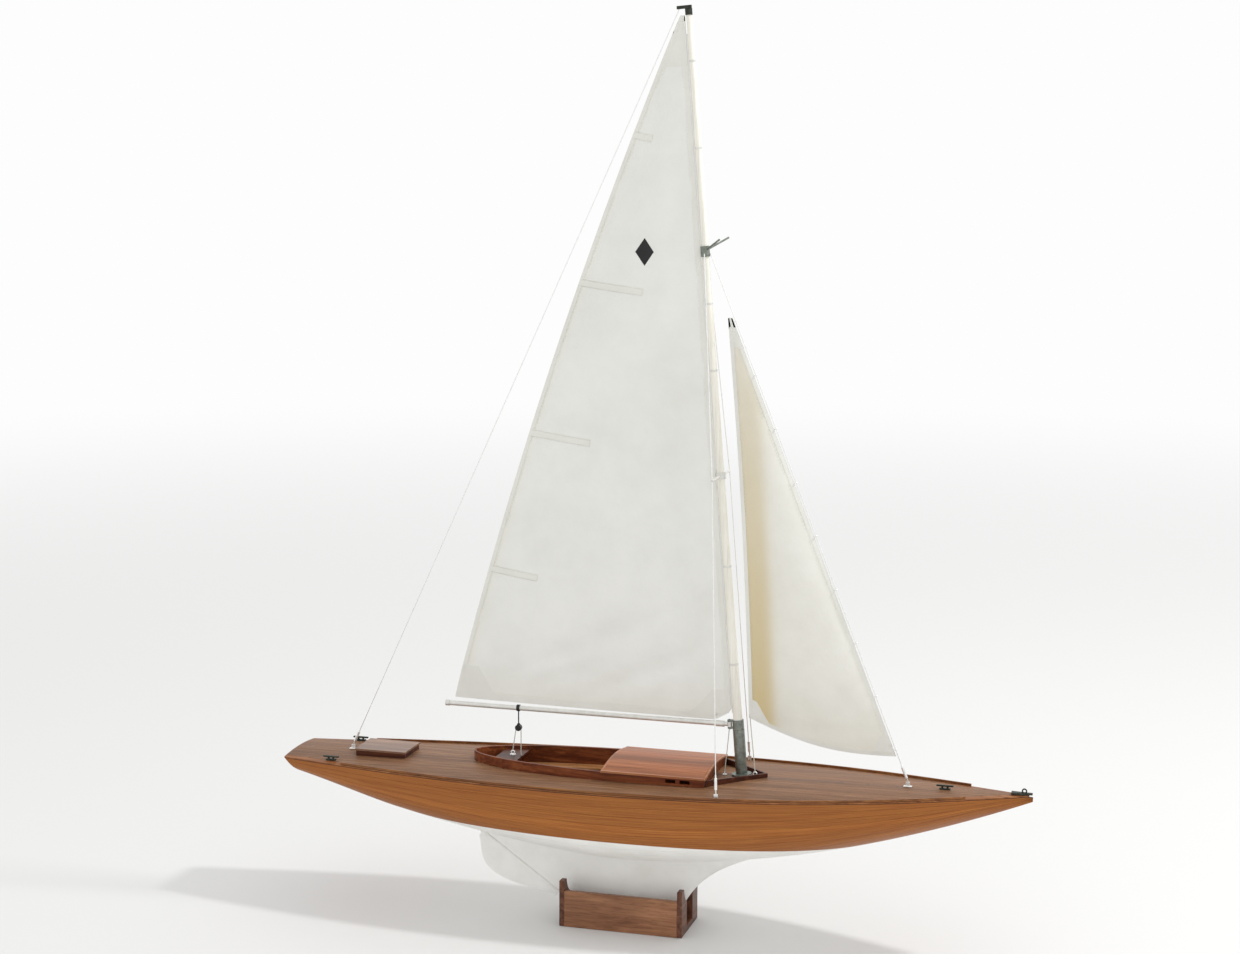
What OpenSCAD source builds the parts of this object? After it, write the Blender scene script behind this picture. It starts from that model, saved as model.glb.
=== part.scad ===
// Radio-controlled long-keel racing yacht on its display stand.
// Millimetres. X points to the bow, Y to port, Z up; the origin is on the table under the middle of the hull.

/* [Hull] */
// Length from transom to stem
hull_len = 740; // [600:10:900]
// Widest beam at the deck
beam = 158; // [140:2:200]
// Width of the transom at the deck
transom_w = 74; // [60:2:90]
// Where the deck is widest, forward of amidships
widest_x = -20; // [-40:5:0]
// Height of the deck edge at the transom
sheer_stern = 149.5; // [147:0.5:153]
// Height of the deck edge amidships
sheer_mid = 151.5; // [149:0.5:155]
// Height of the deck edge at the stem
sheer_bow = 162; // [158:0.5:168]
// Rise of the deck from its edge to the middle, at the widest beam
deck_crown = 5; // [3:0.5:7]
// Lowest point of the hull's body, above the table
canoe_z = 68; // [64:1:72]
// Height of the stem's lower end
stem_z = 156; // [153:0.5:157]
// Height of the transom's lower edge
transom_z = 128; // [124:1:134]
// Forward shift of the transom per unit of drop
transom_rake = 0.8; // [0.4:0.1:1]
// Thickness of the planking
plank_t = 2.4; // [1.8:0.2:3]
// Thickness of the deck
deck_t = 1.6; // [1.2:0.2:2.4]
// Thickness of a bulkhead
bulkhead_t = 3; // [2:0.5:4]
// Width of a toe rail
rail_w = 1.8; // [1.2:0.2:2.4]
// Height of a toe rail
rail_h = 2.2; // [1.5:0.1:3]
// Gap between a toe rail and the transom
rail_stern_gap = 66; // [40:2:90]
// Gap between a toe rail and the stem
rail_bow_gap = 60; // [40:2:90]
// Length of the stern over which the frames lean with the transom
stern_lean_len = 118; // [90:2:140]

/* [Keel and rudder] */
// Thickness of the keel at its foot
keel_t = 15; // [12:0.5:17]
// Height of the lead shoe
ballast_h = 20; // [14:1:26]
// Foot of the rudder hinge line, from amidships
hinge_x = -91; // [-100:1:-86]
// Height of that foot above the table
hinge_z = 22.5; // [20:0.5:26]
// Angle of the rudder stock from level
stock_angle = 35; // [32:0.5:40]
// Radius of the rudder stock
stock_r = 1.5; // [1.2:0.1:1.8]
// Wall of the rudder tube
tube_wall = 1.05; // [0.8:0.05:1.4]
// Gap along the stock between the rudder blade and the hull
blade_gap = 10; // [6:0.5:14]
// Chord of the rudder blade
blade_chord = 27; // [20:1:32]
// Thickness of the rudder blade behind its stock
blade_t = 3.2; // [2.4:0.2:4]

/* [Cockpit and hatches] */
// Aft end of the cockpit
cockpit_aft = -180; // [-190:1:-170]
// Forward end of the cuddy
cuddy_fore = 66; // [60:1:70]
// Width over the coaming
coaming_w = 90; // [80:1:96]
// Thickness of the coaming
coaming_t = 2; // [1.5:0.1:3]
// Height of the coaming above the middle of the deck
coaming_h = 6.5; // [5:0.5:9]
// Aft edge of the cuddy roof
cuddy_aft = -36; // [-46:1:-26]
// Height of the cockpit sole above the table
sole_z = 130; // [129:0.5:134]
// Thickness of the sole
sole_t = 1.5; // [1:0.1:2]
// Width of a bench
bench_w = 14; // [10:1:18]
// Length of the aft hatch
hatch_len = 52; // [44:1:56]
// Width of the aft hatch
hatch_w = 40; // [34:1:44]
// Middle of the aft hatch
hatch_x = -273; // [-280:1:-268]
// Tip of the V-shaped breakwater
breakwater_tip = 118; // [114:1:124]
// Middle of the foredeck cleat
bow_cleat_x = 288; // [280:1:295]
// Middle of the two stern cleats
stern_cleat_x = -318; // [-330:1:-305]

/* [Rig] */
// Mast where it passes the deck
mast_x = 92.5; // [90:0.5:95]
// Angle of the mast aft of upright
mast_rake = 4.7; // [3:0.1:6]
// Length of the mast above the deck
mast_h = 728; // [650:2:760]
// Radius of the mast at the deck
mast_r = 4.6; // [4:0.1:5.4]
// Radius of the mast at its top
mast_top_r = 2.6; // [2:0.1:3.2]
// Height of the metal sleeve above the deck
sleeve_h = 46; // [40:1:50]
// Aft end of the boom
boom_end_x = -210; // [-220:1:-190]
// Radius of the boom
boom_r = 2.5; // [2:0.1:3]
// Swing line of the boom, behind the mast's face
goose_reach = 4; // [3.6:0.1:5]
// Radius of the gooseneck pin
goose_pin_r = 1; // [0.8:0.1:1.2]
// Height of the hounds up the mast
hounds_h = 502; // [470:1:520]
// Height of the spreaders up the mast
spreader_h = 292; // [260:1:320]
// Length of a spreader
spreader_len = 36; // [30:1:42]
// Radius of a wire stay
wire_r = 0.5; // [0.4:0.05:0.7]
// Radius of a sheet
sheet_r = 0.5; // [0.4:0.05:0.8]
// Forestay at the deck
forestay_x = 253; // [245:1:262]
// Backstay at the deck
backstay_x = -310; // [-320:1:-305]
// Shroud at the deck
shroud_x = 84; // [80:1:90]
// Thickness of a sail with its seams
sail_t = 1; // [0.8:0.1:1.4]
// Drop of the mainsail's head below the mast's top
head_drop = 6; // [4:1:80]
// Outward curve of the mainsail's leech
roach = 14; // [6:1:16]
// Mainsail's clew
main_clew_x = -200; // [-204:1:-180]
// Jib head, as a share of the forestay from the deck
jib_head = 0.88; // [0.7:0.01:0.9]
// Jib tack, as a share of the forestay from the deck
jib_tack = 0.05; // [0.045:0.005:0.08]
// Jib's clew
jib_clew_x = 99; // [98:0.5:104]
// Height of the jib's clew above the table
jib_clew_z = 216; // [210:1:230]

/* [Radio gear] */
// Height of the servo tray
tray_z = 96; // [92:1:98]
// Gap between the servo tray and the planks
tray_gap = 9.6; // [4:0.1:14]
// Thickness of the servo tray
tray_t = 2.5; // [2:0.1:3]
// Steering servo's shaft
steer_x = -87; // [-92:1:-84]
// Winch servo's shaft
winch_x = -48; // [-52:1:-46]
// Reach of the steering arms
arm_reach = 14; // [12:0.5:16]
// Height of the pushrod
link_z = 123; // [122:0.5:124]
// Radius of the winch drum
drum_r = 13; // [9:0.5:14]

/* [Stand] */
// Length of the stand
stand_len = 124; // [110:1:140]
// Width of the stand
stand_w = 62; // [54:1:80]
// Height of the side boards
stand_side_h = 36; // [30:1:40]
// Height of the end cradles' horns
stand_horn_h = 46; // [42:1:50]
// Thickness of the boards
board_t = 5; // [4:0.5:6]
// Thickness of the floor board
floor_t = 6; // [5:0.5:8]
// Middle of the stand
stand_x = -20; // [-24:1:-16]

/* [Hidden] */
// Clearances: a glued or seated joint, a running shaft, a soft or curved neighbour
fit = 0.15;
run = 0.05;
clear = 0.3;
half_len = hull_len / 2;
keel_z = floor_t;
coaming_top = sheer_mid + deck_crown + coaming_h;
tube_in_r = stock_r + run;
tube_r = tube_in_r + tube_wall;
blade_r = stock_r + 1.5;
stem_half = 1.2;
STATIONS = 34;
GIRTH = 11;
$fn = 32;

// ---- Lines of the hull ----

// Height of the deck's edge at x: a parabola through stern, middle and bow
function sheer(x) =
    let (u = x / half_len)
    sheer_mid + (sheer_bow - sheer_stern) / 2 * u + ((sheer_bow + sheer_stern) / 2 - sheer_mid) * u * u;

// Half-breadth of the deck at x
function half_beam(x) =
    x > widest_x
    ? max(stem_half, beam / 2 * cos(90 * min(1, pow((x - widest_x) / (half_len - widest_x), 1.27))))
    : transom_w / 2 + (beam - transom_w) / 2 * cos(90 * (widest_x - x) / (half_len + widest_x));

// Height of the hull's bottom on the centreline at x, without the keel
function bottom(x) =
    let (x0 = widest_x - 5)
    x > x0
    ? canoe_z + (stem_z - canoe_z) * pow((x - x0) / (half_len - x0), 1.9)
    : canoe_z + (transom_z - canoe_z) * pow((x0 - x) / (half_len + x0), 1.45);

// How full the sections are: 1 amidships, falling towards the ends
function fullness(x) = 1 - pow(abs(x - widest_x) / (half_len - widest_x), 2.2);
function side_power(x) = 2.2 + 1.8 * fullness(x);
function floor_power(x) = 1.4 + (x < 0 ? 0.4 : -0.2) * (1 - fullness(x));

// Crown of the deck at x, and the height of the deck's top at x, y
function crown(x) = deck_crown * half_beam(x) / (beam / 2);
function deck_top(x, y) = sheer(x) + crown(x) * (1 - pow(y / half_beam(x), 2));

// A point of the section at x, from the keel (t = 0) to the rim (t = 1), inset from the outside of the planks
function section_point(x, t, inset) =
    let (a = 90 * (1 - pow(1 - t, 2)), rim = sheer(x) - deck_t, low = bottom(x) + inset)
    [(half_beam(x) - inset) * pow(sin(a), 2 / floor_power(x)),
     rim - (rim - low) * pow(cos(a), 2 / side_power(x))];

// Height of the bottom at x, y, found on the section's own curve
function bottom_at(x, y, inset) =
    let (rim = sheer(x) - deck_t, low = bottom(x) + inset, b = half_beam(x) - inset)
    rim - (rim - low) * pow(max(0, 1 - pow(min(1, abs(y) / b), floor_power(x))), 1 / side_power(x));

// Half-breadth at height z, on the same curve
function breadth_at(x, z, inset) =
    let (rim = sheer(x) - deck_t, low = bottom(x) + inset, v = max(0, (rim - z) / (rim - low)))
    (half_beam(x) - inset) * pow(max(0, 1 - pow(v, side_power(x))), 1 / floor_power(x));

// The transom leans, so the stations near it shift forward with depth
function lean(x, z) = transom_rake * (sheer(x) - z) * pow(max(0, 1 - (x + half_len) / stern_lean_len), 1.5);

// Points closer together towards the ends
function station(i, x0, x1) = let (u = i / STATIONS) x0 + (x1 - x0) * (0.55 * u + 0.45 * (1 - cos(180 * u)) / 2);

function hull_ring(x, inset) = concat(
    [for (j = [GIRTH:-1:1]) let (p = section_point(x, j / GIRTH, inset)) [x + lean(x, p[1]), p[0], p[1]]],
    [for (j = [0:GIRTH]) let (p = section_point(x, j / GIRTH, inset)) [x + lean(x, p[1]), -p[0], p[1]]]);

// A closed solid through rings that all have the same number of points
module loft(rings) {
    n = len(rings[0]);
    m = len(rings);
    sides = [for (i = [0:m - 2]) for (j = [0:n - 1]) let (k = (j + 1) % n)
        each [[i * n + j, (i + 1) * n + k, i * n + k], [i * n + j, (i + 1) * n + j, (i + 1) * n + k]]];
    caps = [[for (j = [0:n - 1]) j], [for (j = [n - 1:-1:0]) (m - 1) * n + j]];
    polyhedron(points = [for (r = rings) each r], faces = concat(sides, caps), convexity = 8);
}

// Cuts between curved solids are made on their facets, as one mesh
module as_mesh() {
    resize([0, 0, 0]) children();
}

// Everything between the deck's top, raised by gap, and a plane far below it
module under_deck(gap) {
    crown_points = 10;
    loft([for (i = [0:STATIONS]) let (x = station(i, -half_len, half_len), b = half_beam(x)) concat(
        [for (j = [0:crown_points]) let (y = b * (1 - 2 * j / crown_points)) [x, y, deck_top(x, y) + gap]],
        [[x, -b, canoe_z], [x, b, canoe_z]])]);
}

// ---- Frames and helpers ----

// Local Z runs up the mast, from the deck
mast_z0 = sheer(mast_x) + crown(mast_x);
module on_mast(h = 0) {
    translate([mast_x, 0, mast_z0]) rotate([0, -mast_rake, 0]) translate([0, 0, h]) children();
}
function mast_point(h, fore = 0, side = 0) = [
    mast_x - h * sin(mast_rake) + fore * cos(mast_rake), side,
    mast_z0 + h * cos(mast_rake) + fore * sin(mast_rake)];
function mast_radius(h) = mast_r + (mast_top_r - mast_r) * h / mast_h;
mast_taper = atan((mast_r - mast_top_r) / mast_h);
band_t = 1;

// Local Z runs up the line that the boom swings about, parallel to the mast's after face
module on_luff(h = 0) {
    on_mast() translate([-mast_r - goose_reach, 0, 0]) rotate([0, mast_taper, 0]) translate([0, 0, h]) children();
}
luff_rake = mast_rake - mast_taper;
luff_foot = mast_point(0, -mast_r - goose_reach);
function luff_x(z) = luff_foot[0] - (z - luff_foot[2]) * tan(luff_rake);

// Local Z runs up the rudder stock, and local -X towards the blade's trailing edge
module on_stock(s = 0) {
    translate([hinge_x, 0, hinge_z]) rotate([0, stock_angle - 90, 0]) translate([0, 0, s]) children();
}
function hinge_at(z) = hinge_x - (z - hinge_z) / tan(stock_angle);

// Length of the rudder blade: how far up the stock the hull's bottom is, less the gap
function stock_in_hull(s, steps) = steps == 0 ? s
    : stock_in_hull((bottom(hinge_x - s * cos(stock_angle)) - hinge_z) / sin(stock_angle), steps - 1);
blade_len = stock_in_hull(100, 20) - (blade_r / tan(stock_angle)) - blade_gap;

// A round rod between two points
module rod(a, b, r) {
    d = b - a;
    translate(a) rotate([0, acos(d[2] / norm(d)), atan2(d[1], d[0])]) cylinder(h = norm(d), r = r);
}
function along(a, b, distance) = a + (b - a) / norm(b - a) * distance;

// A plate in the plane of the sails, from [x, z] points
module plate(points, t) {
    translate([0, t / 2, 0]) rotate([90, 0, 0]) linear_extrude(height = t) polygon(points);
}

// A plate across the boat, from [y, z] points, its after face at x
module frame_plate(x, points, t) {
    translate([x, 0, 0]) rotate([90, 0, 90]) linear_extrude(height = t) polygon(points);
}

module box(x, y, z) {
    translate([x[0], y[0], z[0]]) cube([x[1] - x[0], y[1] - y[0], z[1] - z[0]]);
}

// ---- Stand ----

stand_x0 = stand_x - stand_len / 2;
stand_x1 = stand_x + stand_len / 2;

module stand_floor() {
    color("#4a2a1c") box([stand_x0 + board_t, stand_x1 - board_t],
        [board_t - stand_w / 2, stand_w / 2 - board_t], [0, floor_t]);
}

module stand_sides() {
    color("#4a2a1c") for (s = [-1, 1])
        translate([stand_x0 + board_t, s * (stand_w - board_t) / 2 - board_t / 2, 0])
            cube([stand_len - 2 * board_t, board_t, stand_side_h]);
}

// Two horns with a round scoop between them, and a slot down to the floor for the keel
module cradle(x) {
    scoop_r = stand_w / 2 - 9;
    slot = keel_t / 2 + 3.5;
    color("#4a2a1c") difference() {
        box([x, x + board_t], [-stand_w / 2, stand_w / 2], [0, stand_horn_h]);
        translate([x - 1, 0, stand_horn_h + 4]) rotate([0, 90, 0]) cylinder(h = board_t + 2, r = scoop_r);
        box([x - 1, x + board_t + 1], [-slot, slot], [floor_t, stand_horn_h + 1]);
    }
}

module stand_end_fore() {
    cradle(stand_x1 - board_t);
}

module stand_end_aft() {
    cradle(stand_x0);
}

// ---- Hull ----

// The planks' inside at x; past the last frame it closes up into the solid stem
stem_block = 14;
function inside_ring(x) =
    let (f = max(0.02, min(1, (half_len - x) / stem_block)), rim = sheer(x) - deck_t)
    [for (p = hull_ring(x, min(plank_t, 0.6 * half_beam(x)))) [p[0], p[1], rim - (rim - p[2]) * f]];

function reversed(list) = [for (i = [len(list) - 1:-1:0]) list[i]];

module hull_shell() {
    color("#a85a24") difference() {
        loft([for (i = [0:STATIONS]) let (x = station(i, -half_len, half_len))
            concat(hull_ring(x, 0), reversed(inside_ring(x)))]);
        on_stock(blade_len) cylinder(h = 40, r = tube_r + clear);
    }
}

module transom() {
    transom_t = 3;
    color("#7a4020") loft([for (i = [0:2]) hull_ring(-half_len + 0.6 + transom_t * i / 2, plank_t + fit)]);
}

// Edges and half-thickness of the keel at height z: a rounded foil from the hinge line (c = 1) to its nose (c = 0)
function keel_fore(z) = let (h = z - keel_z)
    27 + 0.5 * h + 52 * pow(h / 75, 3.7) - 11 * pow(max(0, 1 - h / 14), 2);
nose_gap = (blade_r + clear) / sin(stock_angle);
function keel_aft(z) = nose_gap + (z > hinge_z ? hinge_at(z)
    : hinge_x + 44 * pow((hinge_z - z) / (hinge_z - keel_z), 0.8));
function keel_half(z, c) = let (h = z - keel_z)
    0.4 + 2.5 * c + (keel_t / 2 * min(1, 0.8 + h / 40) + 9 * pow(max(0, h - 30) / 50, 2)) * 2.3 * sqrt(c) * (1 - c);
function keel_point(z, c) = let (x0 = keel_aft(z), x1 = keel_fore(z)) [x1 + (x0 - x1) * c, keel_half(z, c), z];

// Chord positions, closer together at both edges
CHORDS = [for (i = [0:12]) (1 - cos(180 * i / 12)) / 2];

// Where the keel's side meets the hull's bottom, by walking up to it
function keel_top(c, z, steps) = let (p = keel_point(z, c), z1 = bottom_at(p[0], p[1], 0) - clear)
    steps == 0 ? z1 : keel_top(c, z1, steps - 1);

// Sides that rise from z0 to the given tops. The lid is flat, or has a ridge along its middle
module keel_loft(z0, tops, mids, steps) {
    n = len(CHORDS);
    sides = [for (k = [0:steps]) each [for (s = [1, -1]) each [for (i = [0:n - 1])
        let (p = keel_point(z0 + (tops[i] - z0) * k / steps, CHORDS[i])) [p[0], s * p[1], p[2]]]]];
    middle = [for (i = [0:len(mids) - 1]) let (p = keel_point(tops[i], CHORDS[i])) [p[0], 0, mids[i]]];
    top = steps * 2 * n;
    mid = top + 2 * n;
    function port(k, i) = k * 2 * n + i;
    function star(k, i) = k * 2 * n + n + i;
    skin = [for (k = [0:steps - 1]) for (i = [0:n - 2]) each [
        [port(k, i), port(k, i + 1), port(k + 1, i + 1)], [port(k, i), port(k + 1, i + 1), port(k + 1, i)],
        [star(k, i), star(k + 1, i + 1), star(k, i + 1)], [star(k, i), star(k + 1, i), star(k + 1, i + 1)]]];
    edges = [for (k = [0:steps - 1]) each [[port(k, n - 1), star(k, n - 1), star(k + 1, n - 1)],
        [port(k, n - 1), star(k + 1, n - 1), port(k + 1, n - 1)],
        [port(k, 0), star(k + 1, 0), star(k, 0)], [port(k, 0), port(k + 1, 0), star(k + 1, 0)]]];
    flat = [for (i = [0:n - 2]) each [[port(steps, i), star(steps, i + 1), star(steps, i)],
        [port(steps, i), port(steps, i + 1), star(steps, i + 1)]]];
    ridge = [for (i = [0:n - 2]) each [[port(steps, i), port(steps, i + 1), mid + i + 1],
        [port(steps, i), mid + i + 1, mid + i], [star(steps, i), mid + i + 1, star(steps, i + 1)],
        [star(steps, i), mid + i, mid + i + 1]]];
    ends = [[port(steps, n - 1), star(steps, n - 1), mid + n - 1], [port(steps, 0), mid, star(steps, 0)]];
    lid = len(mids) == 0 ? flat : concat(ridge, ends);
    foot = [for (i = [0:n - 2]) each [[port(0, i), star(0, i), star(0, i + 1)],
        [port(0, i), star(0, i + 1), port(0, i + 1)]]];
    polyhedron(points = concat(sides, middle), faces = concat(skin, edges, lid, foot), convexity = 6);
}

module keel_fin() {
    tops = [for (c = CHORDS) keel_top(c, canoe_z + 12, 12)];
    mids = [for (i = [0:len(CHORDS) - 1])
        let (p = keel_point(tops[i], CHORDS[i])) bottom_at(p[0], 0, 0) - clear];
    color("#eceae4") keel_loft(keel_z + ballast_h, tops, mids, 9);
}

module keel_ballast() {
    top = [for (c = CHORDS) keel_z + ballast_h];
    color("#e6e4de") keel_loft(keel_z, top, [], 5);
}

// Outline of a bulkhead that fits the inside of the planks at both of its faces, up to the deck's underside
function bulkhead_points(x) =
    let (xs = [x, x + bulkhead_t], n = 14, inset = plank_t + clear,
        wide = half_beam(xs[0]) < half_beam(xs[1]) ? xs[0] : xs[1],
        side = [for (j = [0:GIRTH]) section_point(wide, j / GIRTH, inset)],
        top = half_beam(wide) - inset)
    concat([for (p = side) p],
        [for (j = [1:n - 1]) let (y = top * (1 - 2 * j / n))
            [y, min(deck_top(xs[0], y), deck_top(xs[1], y)) - deck_t - fit]],
        [for (j = [GIRTH:-1:1]) [-side[j][0], side[j][1]]]);

module bulkhead(x) {
    color("#c9a070") frame_plate(x, bulkhead_points(x), bulkhead_t);
}

mid_x = 24;
aft_x = -150 - bulkhead_t;
bulkhead_web = coaming_w / 2 + 2;

module bulkhead_fore() {
    bulkhead(200);
}

module bulkhead_mast() {
    bulkhead(112);
}

module bulkhead_mid() {
    difference() {
        bulkhead(mid_x);
        box([mid_x - 1, mid_x + bulkhead_t + 1], [-bulkhead_web, bulkhead_web], [sole_z - sole_t, 200]);
        box([mid_x - 1, mid_x + bulkhead_t + 1], [-14, 14], [tray_z + tray_t, sole_z - 10]);
    }
}

module bulkhead_aft() {
    pass = 5;
    difference() {
        bulkhead(aft_x);
        box([aft_x - 1, aft_x + bulkhead_t + 1], [-bulkhead_web, bulkhead_web], [sole_z - sole_t, 200]);
        box([aft_x - 1, aft_x + bulkhead_t + 1], [arm_reach - pass, arm_reach + pass], [link_z - pass, link_z + pass - 1]);
    }
}

// Plan of the cockpit and cuddy: straight forward end, sides that close in a round stern end
function well_half(x, inset) =
    let (x0 = cockpit_aft + inset, u = max(0, min(1, (x - x0) / (cuddy_fore - x0))))
    (coaming_w / 2 - inset) * pow(1 - pow(1 - u, 3), 0.55);
function well_side(inset, x0, x1) = [for (i = [0:16]) let (x = x0 + (x1 - x0) * pow(i / 16, 2)) [x, well_half(x, inset)]];
function well_plan(inset, x0, x1) = let (s = well_side(inset, x0, x1))
    concat(s, [for (i = [16:-1:(s[0][1] > 0.01 ? 0 : 1)]) [s[i][0], -s[i][1]]]);
module well(inset, z0, z1, x0 = cockpit_aft, x1 = cuddy_fore) {
    translate([0, 0, z0]) linear_extrude(height = z1 - z0) polygon(well_plan(inset, x0, x1));
}

module deck() {
    color("#7d5840") as_mesh() difference() {
        under_deck(0);
        translate([0, 0, -deck_t]) scale([1.01, 1.01, 1]) under_deck(0);
        well(-fit, canoe_z, 200, cockpit_aft - fit, cuddy_fore + fit);
        box([hatch_x - hatch_len / 2 - fit, hatch_x + hatch_len / 2 + fit],
            [-hatch_w / 2 - fit, hatch_w / 2 + fit], [canoe_z, 200]);
        on_mast(-20) cylinder(h = 40, r = mast_r + 1 + fit);
    }
}

// A rail along the deck's edge
module toe_rails() {
    edge = 0.5;
    lift = 0.35;
    x0 = rail_stern_gap - half_len;
    x1 = half_len - rail_bow_gap;
    color("#3a2418") for (s = [-1, 1]) loft([for (i = [0:STATIONS])
        let (x = station(i, x0, x1), y1 = half_beam(x) - edge, y0 = y1 - rail_w, z0 = sheer(x) + lift,
            ring = [[x, y0, z0], [x, y1, z0], [x, y1, z0 + rail_h], [x, y0, z0 + rail_h]])
        s > 0 ? [for (p = ring) p] : [for (j = [3:-1:0]) [ring[j][0], -ring[j][1], ring[j][2]]]]);
}

module coaming() {
    color("#8a4522") difference() {
        well(0, sole_z, coaming_top);
        well(coaming_t, sole_z - 1, coaming_top + 1, cockpit_aft + coaming_t, cuddy_fore - coaming_t);
        for (x = [28, 42]) box([x, x + 10], [-coaming_w, coaming_w], [coaming_top - 5.2, coaming_top - 1.6]);
    }
}

// Two boards that meet forward of the mast, cut to the deck's crown
module breakwater() {
    out = coaming_w / 2 - 2;
    x0 = cuddy_fore + 1;
    t = 2;
    color("#6a3a1e") as_mesh() difference() {
        translate([0, 0, sheer_mid]) linear_extrude(height = coaming_top - sheer_mid - 0.5)
            polygon([[x0, out], [breakwater_tip, 0], [x0, -out], [x0, t * 1.3 - out],
                [breakwater_tip - t * 1.5, 0], [x0, out - t * 1.3]]);
        under_deck(fit);
    }
}

switch_x = 44;
switch_y = -20;

module cockpit_sole() {
    color("#b98a5a") difference() {
        well(0, sole_z - sole_t, sole_z);
        box([switch_x - 9 - fit, switch_x + 9 + fit], [switch_y - 4 - fit, switch_y + 4 + fit],
            [sole_z - sole_t - 1, sole_z + 1]);
    }
}

module cockpit_benches() {
    z = sole_z + 14;
    color("#a56a3a") for (s = [-1, 1]) translate([0, 0, z]) linear_extrude(height = 1.8) polygon(concat(
        [for (x = [-140:10:-40]) [x, s * (well_half(x, coaming_t) - fit)]],
        [for (x = [-40:-10:-140]) [x, s * (well_half(x, coaming_t) - bench_w)]]));
}

bridge_x = [-154, -130];
bridge_z = coaming_top - 5;

module sheet_bridge() {
    color("#5a3018") translate([0, 0, bridge_z]) linear_extrude(height = 2) polygon(concat(
        [for (x = [bridge_x[0]:6:bridge_x[1]]) [x, well_half(x, coaming_t) - fit]],
        [for (x = [bridge_x[1]:-6:bridge_x[0]]) [x, fit - well_half(x, coaming_t)]]));
}

hatch_wall = 2.5;
hatch_top = deck_top(hatch_x, 0) + 4.5;

module aft_hatch_frame() {
    hx = hatch_len / 2;
    hy = hatch_w / 2;
    w = hatch_wall;
    color("#6a4028") difference() {
        box([hatch_x - hx, hatch_x + hx], [-hy, hy], [hatch_top - 12, hatch_top]);
        box([hatch_x - hx + w, hatch_x + hx - w], [w - hy, hy - w], [hatch_top - 13, hatch_top + 1]);
    }
}

module aft_hatch_cover() {
    hx = hatch_len / 2 + 1;
    hy = hatch_w / 2 + 1;
    lip = hatch_wall + clear + 1;
    color("#8a6a60") {
        box([hatch_x - hx, hatch_x + hx], [-hy, hy], [hatch_top, hatch_top + 2]);
        difference() {
            box([hatch_x - hx + lip, hatch_x + hx - lip], [lip - hy, hy - lip], [hatch_top - 5, hatch_top]);
            box([hatch_x - hx + lip + 2, hatch_x + hx - lip - 2], [lip + 2 - hy, hy - lip - 2],
                [hatch_top - 6, hatch_top]);
        }
    }
}

// An arched roof with flat edges that rest on the coaming, and an infill over the cuddy's forward wall
module cuddy_roof() {
    over = 1.5;
    w = coaming_w / 2 + over;
    ledge = coaming_w / 2 - coaming_t;
    rise = 4.5;
    t = 2;
    arch = [for (i = [0:12]) let (y = ledge * (1 - i / 6)) [y, coaming_top + rise * (1 - pow(y / ledge, 2))]];
    color("#b8683e") {
        frame_plate(cuddy_aft, concat([[w, coaming_top]], arch, [[-w, coaming_top], [-w, coaming_top + t]],
            [for (i = [12:-1:0]) arch[i] + [0, t]], [[w, coaming_top + t]]), cuddy_fore + over - cuddy_aft);
        frame_plate(cuddy_fore - coaming_t, [for (p = arch) p], coaming_t);
    }
}

// ---- Mast and standing rigging ----

step_h = bottom(mast_x) + plank_t - mast_z0 + 6;
step_foot = mast_point(step_h);

// Block on the planks, with a socket for the mast's heel
module mast_step() {
    x0 = step_foot[0] - 12;
    x1 = step_foot[0] + 10;
    w = 9;
    color("#8a5a34") difference() {
        frame_plate(x0, concat([for (y = [w:-3:-w]) [y, max([for (x = [x0, (x0 + x1) / 2, x1]) bottom_at(x, y, plank_t)]) + clear]],
            [[-w, step_foot[2] + 8], [w, step_foot[2] + 8]]), x1 - x0);
        on_mast(step_h) cylinder(h = 40, r = mast_radius(step_h) + fit);
    }
}

// One straight taper from the step to the truck
module mast() {
    color("#e8d9b8") on_mast(step_h)
        cylinder(h = mast_h - step_h, r1 = mast_radius(step_h), r2 = mast_top_r);
}

collar_w = 5;

module mast_sleeve() {
    color("#5a605a") difference() {
        union() {
            on_mast(-6) cylinder(h = sleeve_h + 6, r = mast_r + 1);
            on_mast(1) cylinder(h = 1.6, r = mast_r + collar_w);
        }
        on_mast(-8) cylinder(h = sleeve_h + 10, r = mast_r + 2 * run);
    }
}

goose_h = sleeve_h + 5;
eye_h = 4.9;

module gooseneck_bracket() {
    lug_t = 1.6;
    lug_z = eye_h / 2 + clear;
    color("#6a6e6a") {
        difference() {
            union() {
                on_mast(goose_h - lug_z - lug_t) cylinder(h = 2 * (lug_z + lug_t), r = mast_r + 0.9);
                for (z = [-lug_z - lug_t, lug_z]) hull() {
                    on_luff(goose_h + z) cylinder(h = lug_t, r = 2.1);
                    on_luff(goose_h + z) translate([goose_reach + 1, -2.1, 0]) cube([1, 4.2, lug_t]);
                }
            }
            on_mast(goose_h - 10) cylinder(h = 20, r = mast_r + 2 * run);
            for (z = [-lug_z - lug_t - 1, lug_z - 1]) on_luff(goose_h + z) cylinder(h = lug_t + 2, r = goose_pin_r);
        }
        on_luff(goose_h - lug_z - lug_t - 0.6) cylinder(h = 2 * (lug_z + lug_t) + 1.2, r = goose_pin_r);
    }
}

crane_aft = 9;
crane_t = 2.2;

module masthead_crane() {
    color("#4a4238") {
        difference() {
            on_mast(mast_h - 6) cylinder(h = 6, r = mast_top_r + 0.8);
            on_mast(mast_h - 7) cylinder(h = 8, r = mast_top_r + 2 * run);
        }
        on_mast(mast_h) translate([-crane_aft - 2, -crane_t / 2, 0]) cube([crane_aft + 5, crane_t, 3]);
    }
}

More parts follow.
